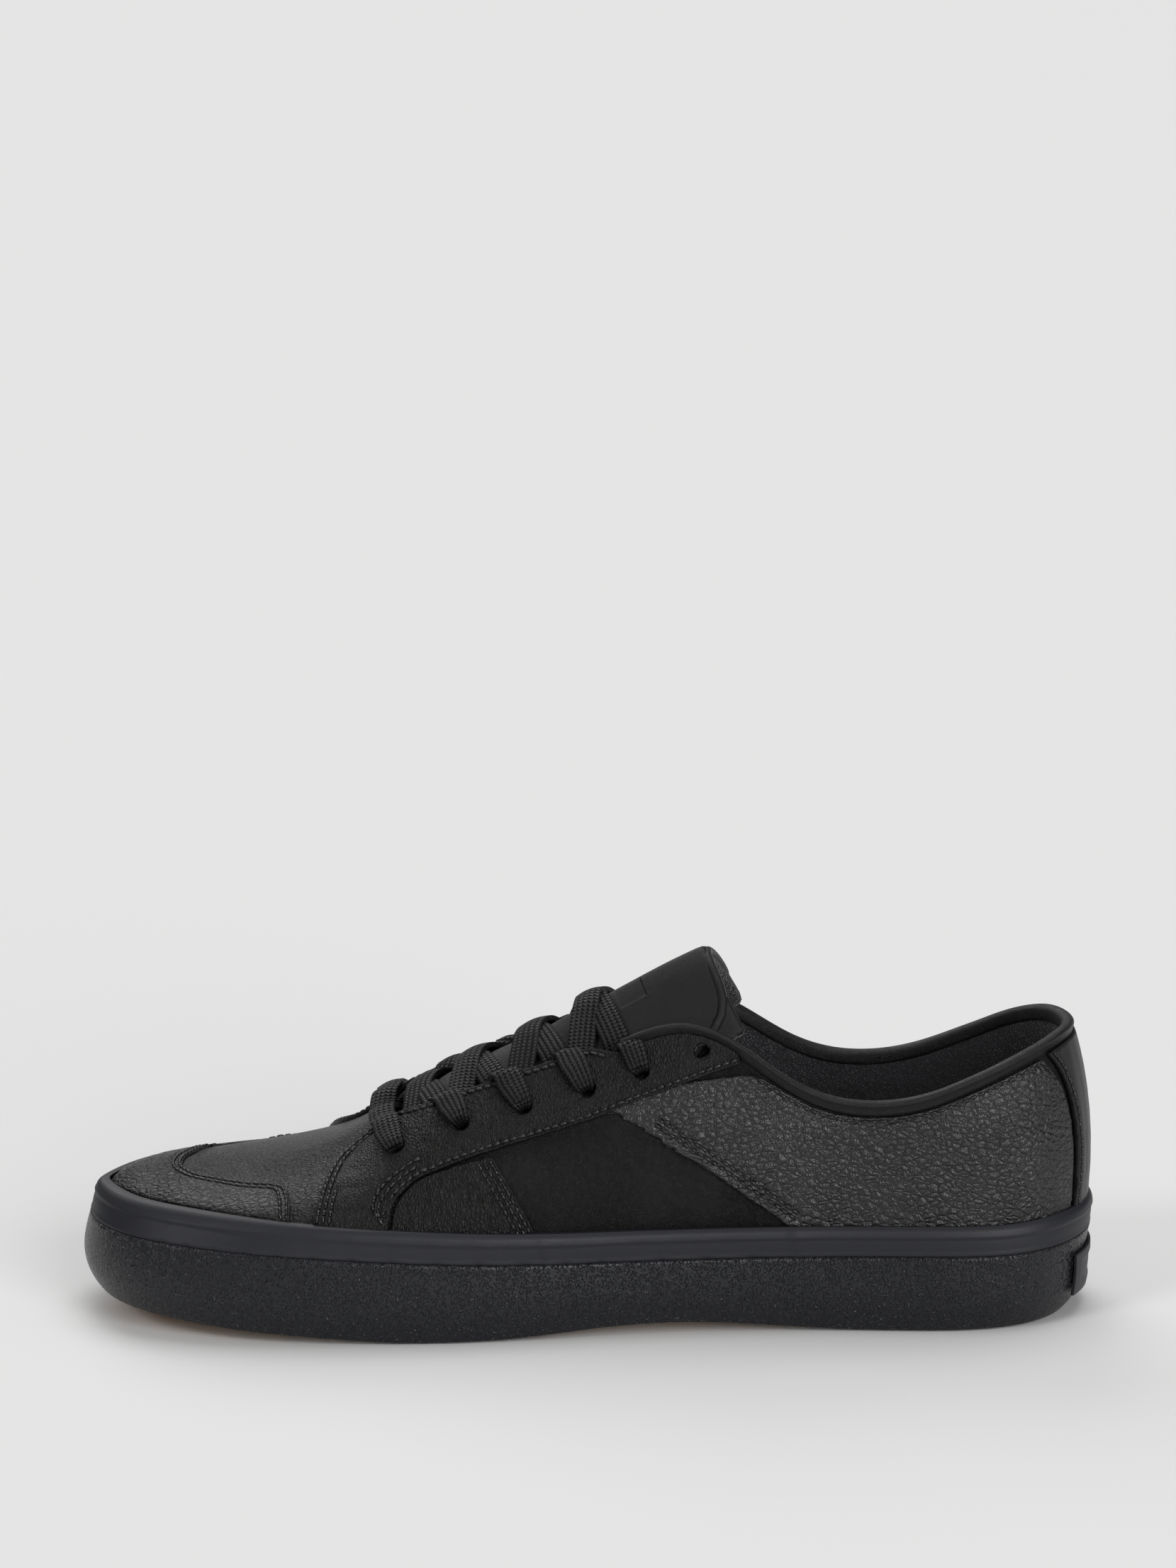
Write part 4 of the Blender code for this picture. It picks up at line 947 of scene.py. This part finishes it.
def dip(i, side):
    """Marks down through a hole and under the facing to where the next strand comes out."""
    centre = Vector(EYELETS[side][i])
    out = out_of(centre)
    marks = [(centre - out * 1.8 * MM, HOLE_WIDTH), (centre - out * 5.0 * MM, HOLE_WIDTH)]
    if i < len(STARTS["x"]):
        x0, y0 = start_of(i, side)
        place, _ = drop_on(x0, y0 - side * 1.5 * MM)
        edge = Vector((x0, y0 + side * 2.5 * MM, place.z - 1.6 * MM))
        marks.append(((centre - out * 5.0 * MM + edge) / 2, 0.9 * LACE_WIDTH))
        marks.append((edge, LACE_WIDTH))
    else:
        marks.append((centre - out * 5.5 * MM + Vector((6 * MM, 0, 2 * MM)), HOLE_WIDTH))
    return marks


def half_lace(side):
    """From the first hole of one side to the hidden end."""
    marks = dip(0, side)
    for i in range(4):
        marks += crossing(i, side)
        side = -side
        marks += dip(i + 1, side)
    return marks


def bar_marks():
    """Marks over the bottom bar, from the inner hole to the outer one."""
    inner, outer = Vector(EYELETS[-1][0]), Vector(EYELETS[1][0])
    marks = []
    for t in np.linspace(0.08, 0.92, 11):
        x = inner.x + (outer.x - inner.x) * t - BAR_SWAY * math.sin(math.pi * t) ** 0.6
        place, normal = drop_on(x, inner.y + (outer.y - inner.y) * t)
        marks.append((place + normal * (LACE_LIFT + BAR_ARCH * math.sin(math.pi * t)), LACE_WIDTH))
    first = (inner + out_of(inner) * 0.5 * MM, PINCHED)
    last = (outer + out_of(outer) * 0.5 * MM, PINCHED)
    return [first] + marks + [last]


def smooth_run(points, extra, spacing):
    """Points along a smooth curve through marks, evenly spaced, with a value carried along."""
    run = np.concatenate([[0], np.cumsum(np.linalg.norm(np.diff(points, axis=0), axis=1) ** 0.5)])
    run = np.concatenate([[run[0] - 1e-3], run, [run[-1] + 1e-3]])
    marks = np.concatenate([points[:1], points, points[-1:]])
    fine, carried = [], []
    for i in range(1, len(marks) - 2):
        t0, t1, t2, t3 = run[i - 1 : i + 3]
        p0, p1, p2, p3 = marks[i - 1 : i + 3]
        for t in np.linspace(t1, t2, 12, endpoint=False):
            a1 = ((t1 - t) * p0 + (t - t0) * p1) / (t1 - t0)
            a2 = ((t2 - t) * p1 + (t - t1) * p2) / (t2 - t1)
            a3 = ((t3 - t) * p2 + (t - t2) * p3) / (t3 - t2)
            b1 = ((t2 - t) * a1 + (t - t0) * a2) / (t2 - t0)
            b2 = ((t3 - t) * a2 + (t - t1) * a3) / (t3 - t1)
            fine.append(((t2 - t) * b1 + (t - t1) * b2) / (t2 - t1))
            carried.append(extra[i - 1] + (extra[i] - extra[i - 1]) * (t - t1) / (t2 - t1))
    fine = np.array(fine)
    run = np.concatenate([[0], np.cumsum(np.linalg.norm(np.diff(fine, axis=0), axis=1))])
    steps = np.arange(0, run[-1], spacing)
    places = np.stack([np.interp(steps, run, fine[:, k]) for k in range(3)], 1)
    return places, np.interp(steps, run, carried), steps


marks = half_lace(-1)[::-1] + bar_marks() + half_lace(1)
middles = np.array([place for place, width in marks])
widths = np.array([width for place, width in marks])
line, line_widths, steps = smooth_run(middles, widths, 1.0 * MM)
ALONG_FOOT = np.array([-0.93, 0.0, -0.36])
count, columns = len(line), 9
bpy.ops.object.select_all(action="DESELECT")
bpy.ops.mesh.primitive_grid_add(x_subdivisions=count - 1, y_subdivisions=columns - 1, size=2, calc_uvs=True)
lace = bpy.context.object
lace.name = "lace"
grid = points_of(lace)
row = np.round((grid[:, 0] + 1) / 2 * (count - 1)).astype(int)
across_share = grid[:, 1]
runs = np.gradient(line, axis=0)
runs /= np.linalg.norm(runs, axis=1)[:, None]
across = ALONG_FOOT - runs * (runs @ ALONG_FOOT)[:, None]
across /= np.linalg.norm(across, axis=1)[:, None]
for _ in range(4):
    across[1:-1] = (across[:-2] + across[1:-1] + across[2:]) / 3
ups = np.cross(across, runs)
bulge = LACE_CROWN * np.cos(across_share * math.pi / 2)
placed = line[row] + across[row] * (across_share * line_widths[row] / 2)[:, None]
facing_up = np.sign(ups[:, 2] + 1e-9)
placed += ups[row] * (bulge * facing_up[row])[:, None]
move_points(lace, placed)
uv = lace.data.uv_layers.active.data
for loop in lace.data.loops:
    k = loop.vertex_index
    uv[loop.index].uv = (steps[row[k]] / LACE_WIDTH, (across_share[k] + 1) / 2)
modify(lace, "SOLIDIFY", thickness=LACE_THICKNESS, offset=0.0)
modify(lace, "BEVEL", width=LACE_EDGE, segments=3, limit_method="ANGLE", angle_limit=math.radians(60))
lace.data.shade_smooth()

braid = Finish("lace_braid", Specular_IOR_Level=0.30)
thread_map = braid.add("ShaderNodeUVMap")
along = braid.add("ShaderNodeSeparateXYZ", {"Vector": thread_map}, output="X")
over = braid.add("ShaderNodeSeparateXYZ", {"Vector": thread_map}, output="Y")
ribs = (over * (5 * math.pi)).maths("SINE").maths("ABSOLUTE")
plait = (along * 42.0 + ribs * 2.4).maths("SINE") * 0.5 + 0.5
fleck = braid.noise(braid.place(), 1900, 2.0)
weave = ribs**0.6 * 0.65 + plait * 0.35
# The grooves between the ribs and plaits are painted near black: this is painted shade. The pale flecks are
# the yarn's own.
painted_groove_shade = braid.mix(ribs * (0.3 + plait * 0.7), (0.0008, 0.0008, 0.0009), (0.0100, 0.0100, 0.0105))
braid.feed(Base_Color=braid.mix(fleck.step(0.60, 0.70) * plait * 0.8, painted_groove_shade, (0.050, 0.053, 0.064)))
braid.feed(Roughness=0.62 - fleck * 0.2)
braid.feed(Normal=braid.bump(weave + fleck * 0.25, 1.0 * MM))
strands = ("lace_bar", "lace_cross_1", "lace_cross_2", "lace_cross_3", "lace_cross_4")
finish_piece(lace, braid, "lace_braid", *strands)
